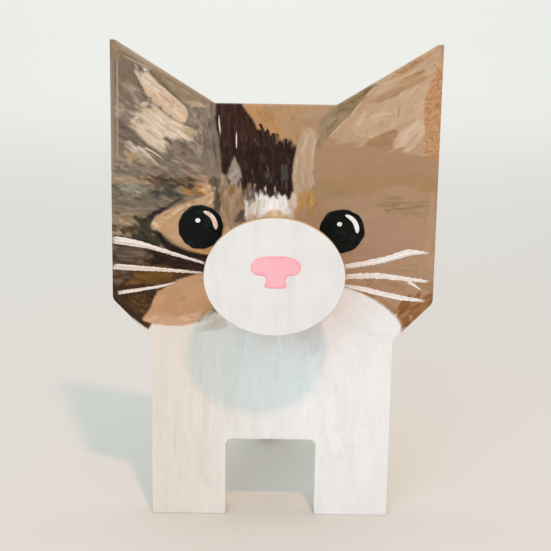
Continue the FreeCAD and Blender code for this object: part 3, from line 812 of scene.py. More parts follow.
for start, end, width, tone in (
        ((22.5, 110.2), (31.5, 110.2), 0.6, "#c8ab8c"), ((31, 110), (43, 111.5), 0.5, "#c2a486"),
        ((30.5, 98.8), (42, 94), 0.4, "#c3a68a"), ((36, 108), (52, 109.8), 0.6, "#7f6045"),
        ((30, 104), (50, 105), 0.5, "#bc9c7e"), ((27, 91.8), (50, 89.6), 0.5, "#a07f60"),
        ((30, 87.6), (52, 88.6), 0.5, "#bd9d80")):
    stroke(start, end, width, tone, bend=hand.normal(0, 0.4), ragged=0.3, cover=0.7, load=0.08)
scrub([(26, 72), (53.5, 75), (53.5, 84), (24, 84)], 80, 12, 3.0, -10, ["#ab8868", "#a5805f", "#b08e6e"],
      8, **CALM)
scrub([(41, 74), (45, 67), (54, 75), (53.5, 79.5), (46, 78)], 60, 6, 2.0, 40,
      ["#8f6038", "#845530", "#9a6c44", "#a2764f"], 14, streak=0.10)
stroke((22, 83.2), (36, 77.6), 1.8, "#9c6f45", bend=0.5, ragged=0.2, cover=0.75)
white_lobe = smoothed([(14, 83.2), (22, 82), (28, 80.4), (34.6, 77.2), (40, 73.2), (43.4, 69), (42, 64),
                       (30, 60), (14, 60)], 4)
fill(white_lobe, 170, 8, 3.4, -36, ["#f1f1f0", "#f3f3f2", "#eff0ef"], 10, **CALM)
stroke((39.6, 73.0), (43.4, 68.8), 0.7, "#e9c9b6", bend=0.3, ragged=0.2, cover=0.8)
scrub([(-12, 62), (18, 62), (18, 84), (-12, 84)], 70, 14, 4, 85, ["#ebe7e2", "#efece8"], 5, **CALM)
for spot_x, spot_z, spot_size, tone in ((38.4, 99.2, 0.7, "#d8b48e"), (35.3, 83.5, 0.6, "#f0dfc6"),
                                        (24.5, 113.5, 0.6, "#e3c9ab"), (50.3, 91.9, 0.6, "#d5b698"),
                                        (-31, 103.4, 0.5, "#8a5a34")):
    stroke((spot_x - 0.3, spot_z), (spot_x + 0.3, spot_z + 0.1), spot_size, tone, load=0.2, ragged=0.05)
print("right cheek painted")

# %% [markdown]
# ### Where the locks meet
# Only a thin dark line parts the locks of the left ear. Their edges are filled last, when all that
# lies round them is down, and the lines are drawn on top with the tip of the brush.

# %% Where the locks meet
for path, width, tone in (
        ([(-42.8, 146.2), (-40.7, 143.6), (-37.5, 140.7), (-34.3, 138.0), (-30.5, 135.7)], 1.5,
         "#d8bb9d"),
        ([(-44.4, 141.2), (-41.2, 141.9), (-37.9, 139.2), (-34.6, 136.5), (-30.4, 134.2)], 1.7,
         "#d9c5ad"),
        ([(-30.4, 133.9), (-25.2, 132.3)], 1.6, "#b9a486"),
        ([(-40.9, 152.7), (-37.0, 149.8), (-33.8, 146.5), (-29.8, 143.3), (-27.4, 141.4)], 1.5,
         "#8d7b5f"),
        ([(-29.6, 142.7), (-26.0, 141.3), (-22.2, 141.0)], 1.3, "#b59c80"),
        ([(-42.0, 151.6), (-38.2, 147.8), (-35.0, 144.9), (-31.1, 141.9), (-29.3, 139.6)], 1.3,
         "#d9bea2"),
        ([(-27.9, 139.7), (-25.0, 138.5), (-23.4, 136.6)], 1.5, "#918470"),
        ([(-27.6, 137.5), (-24.4, 136.0)], 1.4, "#8d7f6b"),
        ([(-46.3, 152.6), (-43.7, 148.2)], 0.7, "#d3c1ac"),
        ([(-45.5, 152.4), (-42.9, 147.6)], 0.9, "#dcc6ae"),
        ([(-44.5, 152.3), (-42.0, 149.0)], 1.1, "#dfc9b3"),
        ([(-41.7, 143.5), (-37.7, 140.0), (-34.4, 137.2), (-30.3, 134.9), (-24.7, 134.0)], 0.45,
         "#5a4a3e"),
        ([(-41.3, 152.9), (-37.6, 149.1), (-34.4, 145.9), (-30.3, 142.5), (-28.2, 140.6),
          (-22.4, 140.2)], 0.5,
         "#75664c")):
    for start, end in zip(path, path[1:]):
        stroke(start, end, width, tone, bend=0.05, ragged=0.04, cover=0.85, taper=0.1)
relief += hand.normal(0, 0.002, relief.shape)
print("thickest paint %.2f mm" % relief.max())

# %% [markdown]
# ## The painted panel
# The panel is one closed piece: a front of small square faces that carries the canvas, a sanded
# edge, the sides and a back with two screw holes. Its left half is three chains of points, one up
# the outside, one down the inner ear and one up the inner leg, each with its corners rounded as the
# cut panel has them. Every row of the front runs from chain to chain, so the rows fit the outline.


# %% Outline of the front, moved in by the sanded edge
def rounded(before, corner, after, radius, steps=6):
    """Points of the tangent arc that rounds one corner, from its first side to its second."""
    before, corner, after = (np.asarray(point, float) for point in (before, corner, after))
    to_before = (before - corner) / np.linalg.norm(before - corner)
    to_after = (after - corner) / np.linalg.norm(after - corner)
    half = math.acos(np.clip(to_before @ to_after, -1, 1)) / 2
    inward = (to_before + to_after) / np.linalg.norm(to_before + to_after)
    centre = corner + inward * radius / math.sin(half)
    arms = [corner + side * radius / math.tan(half) - centre for side in (to_before, to_after)]
    sweep = math.pi - 2 * half
    points = []
    for share in np.linspace(0, 1, steps):
        weights = math.sin((1 - share) * sweep), math.sin(share * sweep)
        points.append(centre + (weights[0] * arms[0] + weights[1] * arms[1]) / math.sin(sweep))
    return points


def moved_in(corners, distance):
    """The corners of an outline (clockwise) after each side moves in by distance."""
    result = []
    for index, corner in enumerate(corners):
        before, after = np.array(corners[index - 1]), np.array(corners[(index + 1) % len(corners)])
        corner = np.array(corner)
        first = (corner - before) / np.linalg.norm(corner - before)
        second = (after - corner) / np.linalg.norm(after - corner)
        normals = np.array([[first[1], -first[0]], [second[1], -second[0]]])
        result.append(corner + np.linalg.solve(normals, [distance, distance]))
    return result


LEFT_CORNERS = [(0, CROTCH), (-GAP_HALF, CROTCH), (-GAP_HALF, 0), (-BODY_HALF, 0),
                (-BODY_HALF, SHOULDER), (-HEAD_HALF, CHEEK), (-HEAD_HALF, EAR_TIP),
                (-EAR_ROOT, HEAD_TOP), (0, HEAD_TOP)]
CORNER_RADII = [0, 2.3 + SANDED, 0.8 - SANDED, 0.8 - SANDED, 3 + SANDED, 3 - SANDED, 0.5 - SANDED,
                2 + SANDED]
inner_corners = moved_in(LEFT_CORNERS, SANDED)
arcs = [None] + [rounded(*inner_corners[i - 1:i + 2], CORNER_RADII[i]) for i in range(1, 8)]
tip = max(range(6), key=lambda i: arcs[6][i][1])
outer_chain = np.array(arcs[3] + arcs[4] + arcs[5] + arcs[6][:tip + 1])
ear_chain = np.array((arcs[6][tip:] + arcs[7])[::-1])
leg_chain = np.array((arcs[1] + arcs[2])[::-1])
print("outline: outer %d, ear %d, leg %d points" % (len(outer_chain), len(ear_chain), len(leg_chain)))

# %% [markdown]
# Rows lie close together on the head, where the painting is fine, and further apart on the body,
# where the strokes run down. The columns fan a little between leg gap and ears, so that the same
# column that ends at the ear's root also ends at the inner edge of the leg.


# %% Rows and columns of the front
def on_chain(chain, z):
    """Where a chain of points is at height z."""
    return np.interp(z, chain[:, 1], chain[:, 0])


def levels(low, high, step):
    """Even heights from low to high, about step apart."""
    return np.linspace(low, high, max(2, round((high - low) / step) + 1))


LEG_ROW, BODY_ROW, HEAD_ROW = 1.4, 1.0, 0.4    # mm between rows
EAR_COLUMNS, MIDDLE_COLUMNS = 92, 108
gap_top, ear_floor, ear_top = leg_chain[-1][1], ear_chain[0][1], outer_chain[-1][1]
corner_levels = [point[1] for arc in (arcs[1], arcs[2], arcs[3], arcs[7], arcs[6][:tip + 1])
                 for point in arc]
leg_levels = np.unique(np.round([z for z in (*levels(SANDED, gap_top, LEG_ROW), *corner_levels)
                                 if z <= gap_top], 4))
body_levels = levels(gap_top, SHOULDER, BODY_ROW)
head_levels = levels(SHOULDER, ear_floor, HEAD_ROW)
ear_levels = np.unique(np.round([z for z in (*levels(ear_floor, ear_top, HEAD_ROW), *corner_levels)
                                 if z >= ear_floor], 4))


def columns(z, part):
    """The x places along one row. part is left, middle or right."""
    edge = on_chain(outer_chain, z)
    if z < gap_top - 1e-6:
        split = on_chain(leg_chain, z)
    elif z > ear_floor + 1e-6:
        split = on_chain(ear_chain, z)
    else:
        share = (z - gap_top) / (ear_floor - gap_top)
        split = (1 - share) * leg_chain[-1][0] + share * ear_chain[0][0]
    if part == "left":
        return np.linspace(edge, split, EAR_COLUMNS + 1)
    if part == "middle":
        return np.linspace(split, -split, MIDDLE_COLUMNS + 1)
    return np.linspace(-split, -edge, EAR_COLUMNS + 1)


# %% [markdown]
# The rows are joined into faces. Neighbouring parts of a row share their end point, so each point
# is looked up by its place before it is made, and where columns meet at a corner a face may have
# only three points left.


# %% Faces of the front
points, faces, seen = [], [], {}


def vertex(x, z):
    """The number of the vertex at (x, z), which is made the first time it is asked for."""
    key = (round(x, 3), round(z, 3))
    if key not in seen:
        seen[key] = len(points)
        points.append((x, PANEL_FRONT, z))
    return seen[key]


whole = np.concatenate([body_levels, head_levels[1:]])
for rows, parts in ((leg_levels, ("left", "right")), (whole, ("left", "middle", "right")),
                    (ear_levels, ("left", "right"))):
    for part in parts:
        grid = [[vertex(x, z) for x in columns(z, part)] for z in rows]
        for lower, upper in zip(grid, grid[1:]):
            for i in range(len(lower) - 1):
                corner_ids = []
                for number in (lower[i], lower[i + 1], upper[i + 1], upper[i]):
                    if number not in corner_ids:
                        corner_ids.append(number)
                if len(corner_ids) > 2:
                    faces.append(corner_ids)
print("front of %d points and %d faces" % (len(points), len(faces)))

# %% [markdown]
# The sides are pulled out of the front's border. Each new ring is moved outwards and back along the
# quarter circle of the sanded edge, then straight to the back, then in again.

# %% Sides
PANEL_DEPTH = PANEL_BACK - PANEL_FRONT
quarter = np.radians([30, 60, 90])
ring_steps = [(SANDED * math.sin(a), SANDED * (1 - math.cos(a))) for a in quarter]
ring_steps += [(SANDED, depth) for depth in np.linspace(SANDED, PANEL_DEPTH - SANDED, 6)[1:]]
ring_steps += [(SANDED * math.cos(a), PANEL_DEPTH - SANDED + SANDED * math.sin(a)) for a in quarter]

follows = {}
edge_count = {}
for face in faces:
    for a, b in zip(face, face[1:] + face[:1]):
        edge_count[frozenset((a, b))] = edge_count.get(frozenset((a, b)), 0) + 1
for face in faces:
    for a, b in zip(face, face[1:] + face[:1]):
        if edge_count[frozenset((a, b))] == 1:
            follows[a] = b
border = [next(iter(follows))]
while follows[border[-1]] != border[0]:
    border.append(follows[border[-1]])
assert len(border) == len(follows), "the front has more than one border"

front_count = len(points)
flat = np.array([(points[i][0], points[i][2]) for i in border])
edges_out = np.roll(flat, -1, 0) - flat
edges_out = np.stack([edges_out[:, 1], -edges_out[:, 0]], 1)
edges_out /= np.linalg.norm(edges_out, axis=1)[:, None]
normals = edges_out + np.roll(edges_out, 1, 0)
normals /= np.linalg.norm(normals, axis=1)[:, None]
previous = border
for out, back in ring_steps:
    ring = list(range(len(points), len(points) + len(border)))
    points += [(x + out * nx, PANEL_FRONT + back, z + out * nz)
               for (x, z), (nx, nz) in zip(flat, normals)]
    for i in range(len(border)):
        j = (i + 1) % len(border)
        faces.append([previous[j], previous[i], ring[i], ring[j]])
    previous = ring
print("border of %d points, %d rings" % (len(border), len(ring_steps)))

# %% [markdown]
# The back is filled round two countersunk holes, because the screw heads of the frame sit in them.
# Their place and size come from the box of the screws.

# %% Back
screw_low, screw_high = (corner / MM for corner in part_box("bridge_screws"))
HEAD_RADIUS = screw_high.x
HOLE_RADIUS, HOLE_SIDES = HEAD_RADIUS + 0.12, 32
SINK_STEP, SINK_DEPTH = 1.6, 1.8    # mm by which the hole narrows, and its depth
shell = bmesh.new()
made = [shell.verts.new(point) for point in points]
for face in faces:
    shell.faces.new([made[i] for i in face])
back_edges = [shell.edges.get((made[a], made[b])) for a, b in zip(previous, previous[1:] + previous[:1])]
for height in (screw_low.z + HEAD_RADIUS, screw_high.z - HEAD_RADIUS):
    rings = []
    for radius, depth in ((HOLE_RADIUS, 0), (HOLE_RADIUS - SINK_STEP, SINK_DEPTH)):
        rings.append([shell.verts.new((radius * math.cos(a), PANEL_BACK - depth,
                                       height + radius * math.sin(a)))
                      for a in np.linspace(0, 2 * math.pi, HOLE_SIDES, endpoint=False)])
    for i in range(HOLE_SIDES):
        j = (i + 1) % HOLE_SIDES
        shell.faces.new([rings[0][i], rings[0][j], rings[1][j], rings[1][i]])
        back_edges.append(shell.edges.get((rings[0][i], rings[0][j])))
    shell.faces.new(rings[1])
bmesh.ops.triangle_fill(shell, edges=back_edges, use_beauty=True, use_dissolve=False)
bmesh.ops.recalc_face_normals(shell, faces=shell.faces)
print("panel closed:", all(edge.is_manifold for edge in shell.edges), len(shell.faces), "faces")

# %% [markdown]
# Now the canvas goes onto the mesh. Each vertex takes the colour and the paint thickness of the
# cell that it lies on. The sides take the colour of the nearest front point, as they do when a
# painter runs the brush over the edge. A second attribute says how much paint there is, so that the
# coat can thin out raggedly near the back, where the bare birch shows.


# %% Move the paint onto the panel
def sampled(layer, x, z):
    """Values of a canvas layer at places in millimetres, between its cells."""
    col = np.clip((x - CANVAS_X[0]) / CELL, 0, len(CANVAS_X) - 1.001)
    row = np.clip((z - CANVAS_Z[0]) / CELL, 0, len(CANVAS_Z) - 1.001)
    c, r = col.astype(int), row.astype(int)
    fc, fr = (col - c), (row - r)
    if layer.ndim == 3:
        fc, fr = fc[:, None], fr[:, None]
    lower = layer[r, c] * (1 - fc) + layer[r, c + 1] * fc
    upper = layer[r + 1, c] * (1 - fc) + layer[r + 1, c + 1] * fc
    return lower * (1 - fr) + upper * fr


places = np.array([vert.co for vert in shell.verts])
x, y, z = places.T
nearest_x, nearest_z = x.copy(), z.copy()
ring_of = np.arange(len(places)) - front_count
side = (ring_of >= 0) & (ring_of < len(border) * len(ring_steps))
nearest_x[side] = flat[ring_of[side] % len(border), 0]
nearest_z[side] = flat[ring_of[side] % len(border), 1]
vertex_colours = sampled(colours, nearest_x, nearest_z)
thickness = sampled(relief, x, z) * (y < PANEL_FRONT + 1e-3)
thickness[border] = 0
THIN_COAT = 1.2    # mm over which the coat thins out near the back
coat = np.clip((PANEL_BACK - THIN_COAT - y) / THIN_COAT, 0, 1)
for vert, lift in zip(shell.verts, thickness):
    vert.co.y -= lift
    vert.co *= MM

panel_mesh = bpy.data.meshes.new("painted_panel")
shell.to_mesh(panel_mesh)
shell.free()
paint_layer = panel_mesh.attributes.new("paint", "FLOAT_COLOR", "POINT")
linear = np.ones((len(places), 4))
linear[:, :3] = to_linear(vertex_colours)
paint_layer.data.foreach_set("color", linear.ravel())
coat_layer = panel_mesh.attributes.new("coat", "FLOAT", "POINT")
coat_layer.data.foreach_set("value", coat)
panel = bpy.data.objects.new("painted_panel", panel_mesh)
bpy.context.scene.collection.objects.link(panel)
panel_mesh.polygons.foreach_set("use_smooth", [True] * len(panel_mesh.polygons))
print("painted panel: %d triangles" % sum(len(f.vertices) - 2 for f in panel_mesh.polygons))

# %% [markdown]
# ## Wood and paint finishes
# Birch plywood is thin sheets of birch, each glued across the last. A face shows long, quiet grain,
# and a cut edge shows the plies as stripes, light where the grain runs along the edge and dark where
# it ends there. One function makes that wood for any piece: it takes the axis of the sheet's
# thickness and the axis of the face grain. The clear lacquer keeps it matt.


# %% Birch plywood
PLY_THICKNESS = 1.5    # mm


def birch(tree, thickness_axis, grain_axis):
    """Colour and bump height of birch plywood, in Object coordinates."""
    place = add(tree, "ShaderNodeTexCoord").outputs["Object"]
    noises = []
    for across, along, detail, bend in ((0.8, 24, 4.0, 0.0), (16, 120, 2.0, 1.2)):
        stretch = [1 / (across * MM)] * 3
        stretch[grain_axis] = 1 / (along * MM)
        mapped = add(tree, "ShaderNodeMapping", Vector=place, Scale=stretch)
        noises.append(add(tree, "ShaderNodeTexNoise", Vector=mapped, Scale=1.0, Detail=detail,
                          Distortion=bend))
    fibres, figure = noises
    bands = add(tree, "ShaderNodeMath", "PINGPONG", in1=0.5,
                in0=add(tree, "ShaderNodeMath", "MULTIPLY", in0=figure, in1=9.0))
    tone = add(tree, "ShaderNodeMath", "MULTIPLY_ADD", in0=bands, in1=0.7, in2=fibres)
    face = add(tree, "ShaderNodeValToRGB", [(0.35, "#d0b184"), (0.7, "#e0c9a2"), (1.0, "#e9d8b8")],
               in0=tone)
    axes = add(tree, "ShaderNodeSeparateXYZ", Vector=place)
    layer = add(tree, "ShaderNodeMath", "PINGPONG", in0=axes.outputs[thickness_axis],
                in1=PLY_THICKNESS * MM)
    stripe = add(tree, "ShaderNodeMath", "MULTIPLY", in0=layer, in1=1 / (PLY_THICKNESS * MM))
    plies = add(tree, "ShaderNodeValToRGB",
                [(0.0, "#8c6a41"), (0.08, "#a9845a"), (0.45, "#b08b5e"), (0.55, "#dcc39a"),
                 (1.0, "#e2cda6")], in0=stripe)
    normal = add(tree, "ShaderNodeNewGeometry").outputs["Normal"]
    facing = add(tree, "ShaderNodeSeparateXYZ", Vector=normal).outputs[thickness_axis]
    square = add(tree, "ShaderNodeMath", "ABSOLUTE", in0=facing)
    on_face = add(tree, "ShaderNodeMath", "GREATER_THAN", in0=square, in1=0.8)
    colour = add(tree, "ShaderNodeMix", {"data_type": "RGBA"}, in0=on_face, in6=plies, in7=face)
    return colour.outputs[2], fibres.outputs[0]


def lacquered(name, thickness_axis, grain_axis):
    """Bare birch plywood under a matt clear lacquer."""
    made, tree, shader = material(name, Roughness=0.5)
    wood, height = birch(tree, thickness_axis, grain_axis)
    link(tree, shader, Base_Color=wood,
         Normal=add(tree, "ShaderNodeBump", Height=height, Strength=0.15, Distance=0.1 * MM))
    return made


nodes["hind_leg"].data.materials[0] = lacquered("lacquered_birch_plywood", 0, 1)
nodes["leg_socket"].data.materials[0] = lacquered("lacquered_birch_plywood_block", 1, 0)
print("birch on the hind leg and its socket")

# %% [markdown]
# Acrylic paint dries to a skin with a soft sheen. The colour is the canvas's own attribute, and a
# fine bump of brush tracks and canvas-sized specks keeps the sheen from looking like plastic. Where
# the coat attribute falls off, a noise decides cell by cell whether paint or birch shows.

# %% Acrylic on plywood
acrylic, tree, shader = material("brushed_acrylic_on_plywood", Roughness=0.5, Specular_IOR_Level=0.12)
wood, fibres = birch(tree, 1, 2)
colour = add(tree, "ShaderNodeAttribute", {"attribute_name": "paint"})
coat = add(tree, "ShaderNodeAttribute", {"attribute_name": "coat"})
place = add(tree, "ShaderNodeTexCoord").outputs["Object"]
specks = add(tree, "ShaderNodeTexNoise", Vector=place, Scale=1 / (2.2 * MM), Detail=4.0)
ragged = add(tree, "ShaderNodeMath", "ADD", in0=coat.outputs["Fac"], in1=specks)
covered = add(tree, "ShaderNodeValToRGB", [(0.72, (0, 0, 0, 1)), (0.80, (1, 1, 1, 1))], in0=ragged)
mottle = add(tree, "ShaderNodeTexNoise", Vector=place, Scale=1 / (1.2 * MM), Detail=5.0, Roughness=0.7)
toned = add(tree, "ShaderNodeValToRGB", [(0.3, (0.86, 0.86, 0.86, 1)), (0.7, (1.0, 1.0, 1.0, 1))],
            in0=mottle)
mixed = add(tree, "ShaderNodeMix", {"data_type": "RGBA", "blend_type": "MULTIPLY"}, in0=0.5,
            in6=colour, in7=toned)
skin = add(tree, "ShaderNodeMix", {"data_type": "RGBA"}, in0=covered, in6=wood, in7=mixed.outputs[2])
sheen = add(tree, "ShaderNodeMapRange", in0=mottle, in1=0.3, in2=0.7, in3=0.42, in4=0.6)
bump = add(tree, "ShaderNodeBump", Height=mottle, Strength=0.2, Distance=0.12 * MM)
link(tree, shader, Base_Color=skin.outputs[2], Roughness=sheen, Normal=bump)
panel_mesh.materials.append(acrylic)
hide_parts("front_panel")
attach(panel, BODY)
print("acrylic on the panel")

# %% [markdown]
# ## Thick paint: eyes, nose and whiskers
# The eyes and the nose were put on last, with enough paint to stand up like a low cushion. Such a
# patch is a closed shell: rings of its own outline, drawn in towards the middle, rise from the
# surface over a rounded rim to a nearly flat top. A small wobble in the outline and ridges across
# the top keep the hand in it.


# %% A raised patch of paint
def patch_rings(outline, centre, base, rise, ridges=None, sunk=0.15):
    """Points and faces of a paint cushion on the plane y = base that bulges towards -Y."""
    outline = np.asarray(outline, float)
    centre = np.asarray(centre, float)
    count = len(outline)
    steps = [(1.0, -sunk), (1.0, 0.25 * rise), (0.985, 0.6 * rise), (0.955, 0.85 * rise)]
    steps += [(share, rise * (1.0 - 0.12 * share ** 2)) for share in np.linspace(0.9, 0.06, 22)]
    found, joined = [], []
    for share, level in steps:
        for x, z in centre + (outline - centre) * share:
            lift = level + (ridges(x, z) if ridges and share < 0.97 else 0)
            found.append((x, base - lift, z))
    found.append((centre[0], base - rise, centre[1]))
    found.append((centre[0], base + sunk, centre[1]))
    for k in range(len(steps) - 1):
        for i in range(count):
            j = (i + 1) % count
            joined.append([k * count + i, k * count + j, (k + 1) * count + j, (k + 1) * count + i])
    last = (len(steps) - 1) * count
    for i in range(count):
        j = (i + 1) % count
        joined.append([last + i, last + j, len(found) - 2])
        joined.append([j, i, len(found) - 1])
    return found, joined


def mottled(name, grain, stops, **principled):
    """A finish whose colour drifts between stops in patches about grain mm wide."""
    made, tree, shader = material(name, **principled)
    place = add(tree, "ShaderNodeTexCoord").outputs["Object"]
    cloud = add(tree, "ShaderNodeTexNoise", Vector=place, Scale=1 / (grain * MM), Detail=3.0)
    link(tree, shader, Base_Color=add(tree, "ShaderNodeValToRGB", stops, in0=cloud))
    return made, tree, shader, place, cloud


def face_out(piece):
    """Merges doubles and turns all faces of a closed piece outwards."""
    shape = bmesh.new()
    shape.from_mesh(piece.data)
    bmesh.ops.remove_doubles(shape, verts=shape.verts, dist=1e-7)
    bmesh.ops.recalc_face_normals(shape, faces=shape.faces)
    shape.to_mesh(piece.data)
    shape.free()
    piece.data.polygons.foreach_set("use_smooth", [True] * len(piece.data.polygons))
    return piece


def settle(piece):
    """Rides a finished piece on the stand."""
    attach(piece, BODY)
    print("%s: %d triangles" % (piece.name, sum(len(f.vertices) - 2 for f in piece.data.polygons)))


# %% [markdown]
# Each eye is a disc of black enamel, laid round and round with a small brush. It is glossy, so the
# ridges show as thin curved glints. Its colour drifts in patches from black to a dark green-grey: a
# little green in the black, and painted reflection where it is palest. On it sit a white dot
# and a curved stroke, the highlights that a painter adds by hand.

# %% Eyes
EYE_RADIUS, EYE_RISE = 7.4, 0.45
EYES = {"left": (-24.5, 101.4), "right": (22.6, 100.8)}
paint_level = PANEL_FRONT - 0.05

# The palest, green-grey stop of the enamel is painted reflection, on top of a little green in the black.
enamel, tree, shader, place, cloud = mottled(
    "black_gloss_enamel", 3.5, [(0.35, "#040504"), (0.58, "#0a0e0b"), (0.72, "#1c2a22")],
    Roughness=0.2, IOR=1.45, Specular_IOR_Level=0.15)
tracks = add(tree, "ShaderNodeTexNoise", Vector=place, Scale=1 / (0.9 * MM), Detail=3.0, Distortion=1.5)
link(tree, shader, Normal=add(tree, "ShaderNodeBump", Height=tracks, Strength=0.35, Distance=0.2 * MM))

for name, (eye_x, eye_z) in EYES.items():
    angles = np.linspace(0, 2 * math.pi, 120, endpoint=False)
    wobble = sum(hand.normal(0, 0.06) * np.cos(n * angles + hand.uniform(0, 6)) for n in (2, 3, 5, 8, 13))
    ring = [(eye_x + (EYE_RADIUS + w) * math.cos(a), eye_z + (EYE_RADIUS + w) * math.sin(a))
            for a, w in zip(angles, wobble)]
    off = hand.normal(0, 0.8, 2)

    def enamel_ridges(px, pz):
        """Brush tracks that go round a point a little off the middle."""
        reach = math.hypot(px - eye_x - off[0], pz - eye_z - off[1])
        turn = math.atan2(pz - eye_z - off[1], px - eye_x - off[0])
        swell = 0.5 + 0.5 * math.sin(3 * turn + 0.8 * reach + off[1])
        return 0.022 * swell * math.sin(6.5 * reach + 2.1 * math.sin(2 * turn + off[0]) + off[0])

    found, joined = patch_rings(ring, (eye_x, eye_z), paint_level, EYE_RISE, enamel_ridges)
    settle(face_out(mesh_piece("eye_" + name, found, joined, enamel)))

# %% [markdown]
# A highlight is a low cushion too. The dot is round, and the streak bends round the top of the eye,
# so its rings shrink towards its own spine. The light on the left eye is peach, from the warm paint
# mixed in, and the right one is white.

# %% Highlights on the eyes
white_paint = mottled("white_acrylic_highlight", 0.8, [(0.3, "#efe9e2"), (0.7, "#ffffff")],
                      Roughness=0.35)[0]
peach_paint = mottled("peach_acrylic_highlight", 1.5, [(0.35, "#e0b7a0"), (0.65, "#f3e2d8")],
                      Roughness=0.35)[0]
highlight_level = paint_level - EYE_RISE + 0.05


def curved_streak(start, control, end, width, count=22):
    """The outline of a short curved stroke with round, slightly uneven ends."""
    t = np.linspace(0, 1, count)[:, None]
    start, control, end = (np.asarray(point, float) for point in (start, control, end))
    spine = (1 - t) ** 2 * start + 2 * t * (1 - t) * control + t ** 2 * end
    way = np.gradient(spine, axis=0)
    way /= np.linalg.norm(way, axis=1)[:, None]
    normal = np.stack([-way[:, 1], way[:, 0]], 1)
    half = width / 2 * np.sqrt(np.clip(1 - (2 * t - 1) ** 4, 0.02, 1)) * (0.85 + 0.3 * t)
    return np.concatenate([spine + normal * half, (spine - normal * half)[::-1]]), spine


def streak_piece(name, finish, outline, spine, base, rise):
    """A cushion that follows a bent stroke: its rings shrink towards the stroke's own spine."""
    count = len(spine)
    twin = np.concatenate([spine, spine[::-1]])
    steps = [(1.0, -0.1), (1.0, 0.35 * rise), (0.9, 0.75 * rise), (0.7, rise), (0.35, rise * 1.1)]
    found = [(x, base - level, z) for share, level in steps
             for x, z in twin + (outline - twin) * share]
    ring = 2 * count
    joined = [[k * ring + i, k * ring + (i + 1) % ring, (k + 1) * ring + (i + 1) % ring,
               (k + 1) * ring + i]
              for k in range(len(steps) - 1) for i in range(ring)]
    top = (len(steps) - 1) * ring
    for start, flip in ((top, 1), (0, -1)):
        for i in range(count - 1):
            joined.append([start + i, start + i + 1, start + ring - 2 - i, start + ring - 1 - i][::flip])
    return face_out(mesh_piece(name, found, joined, finish))


for name, finish in (("left", peach_paint), ("right", white_paint)):
    eye_x, eye_z = EYES[name]
    dot = [(eye_x - 0.9 + 0.85 * math.cos(a), eye_z + 2.3 + 0.75 * math.sin(a))
           for a in np.linspace(0, 2 * math.pi, 24, endpoint=False)]
    found, joined = patch_rings(dot, (eye_x - 0.9, eye_z + 2.3), highlight_level, 0.14)
    settle(face_out(mesh_piece("eye_dot_" + name, found, joined, white_paint)))
    outline, spine = curved_streak((eye_x + 0.9, eye_z + 5.3), (eye_x + 5.0, eye_z + 4.2),
                                   (eye_x + 5.1, eye_z - 0.7), 1.5)
    settle(streak_piece("eye_streak_" + name, finish, outline, spine, highlight_level, 0.14))

# %% [markdown]
# ### Muzzle and nose
# The muzzle is a CAD piece, a thin oval sheet, painted white with an upright brush. The streaks are
# a noise stretched along the height, in the colour and in the bump. The brush never reached the
# sanded edge, so the birch shows there, which the surface's own direction tells.

# %% Muzzle paint
muzzle_paint, tree, shader = material("brushed_white_acrylic", Roughness=0.5)
place = add(tree, "ShaderNodeTexCoord").outputs["Object"]
upright = add(tree, "ShaderNodeMapping", Vector=place, Rotation=(0, math.radians(16), 0),
              Scale=(1 / (2.2 * MM), 1 / (2.2 * MM), 1 / (17 * MM)))
streaks = add(tree, "ShaderNodeTexNoise", Vector=upright, Scale=1.0, Detail=5.0, Roughness=0.6)
cloud = add(tree, "ShaderNodeTexNoise", Vector=place, Scale=1 / (9 * MM), Detail=3.0)
both = add(tree, "ShaderNodeMath", "MULTIPLY_ADD", in0=streaks, in1=0.45,
           in2=add(tree, "ShaderNodeMath", "MULTIPLY", in0=cloud, in1=0.55))
white = add(tree, "ShaderNodeValToRGB", [(0.34, "#e1deda"), (0.5, "#e8e5e1"), (0.66, "#ebe9e6")],
            in0=both)
bare, fibres = birch(tree, 1, 2)
normal = add(tree, "ShaderNodeNewGeometry").outputs["Normal"]
facing = add(tree, "ShaderNodeSeparateXYZ", Vector=normal).outputs["Y"]
flat_on = add(tree, "ShaderNodeMapRange", in0=add(tree, "ShaderNodeMath", "ABSOLUTE", in0=facing),
              in1=0.55, in2=0.8)
covered = add(tree, "ShaderNodeMix", {"data_type": "RGBA"}, in0=flat_on, in6=bare, in7=white)
link(tree, shader, Base_Color=covered.outputs[2],
     Normal=add(tree, "ShaderNodeBump", Height=streaks, Strength=0.15, Distance=0.1 * MM))
nodes["muzzle_disc"].data.materials[0] = muzzle_paint
print("white acrylic on the muzzle")

# %% [markdown]
# The nose is a pink cushion on the muzzle: a wide lobed cap on a short stem, with a rim of deeper
# pink where the brush went round. An attribute holds how near each point is to the outline.

# %% Nose
NOSE_CENTRE = (0.35, 91.0)
half_nose = [(0, 96.5), (3.2, 96.4), (5.8, 95.7), (7.4, 94.4), (7.8, 92.8), (7.2, 91.3), (5.8, 90.5),
             (4.1, 90.3), (3.2, 89.7), (3.0, 88.5), (3.5, 87.2), (3.1, 86.5), (1.4, 86.3)]
corners = half_nose + [(-px, pz) for px, pz in reversed(half_nose[1:])]
corners = np.array(corners) + (NOSE_CENTRE[0], 0)

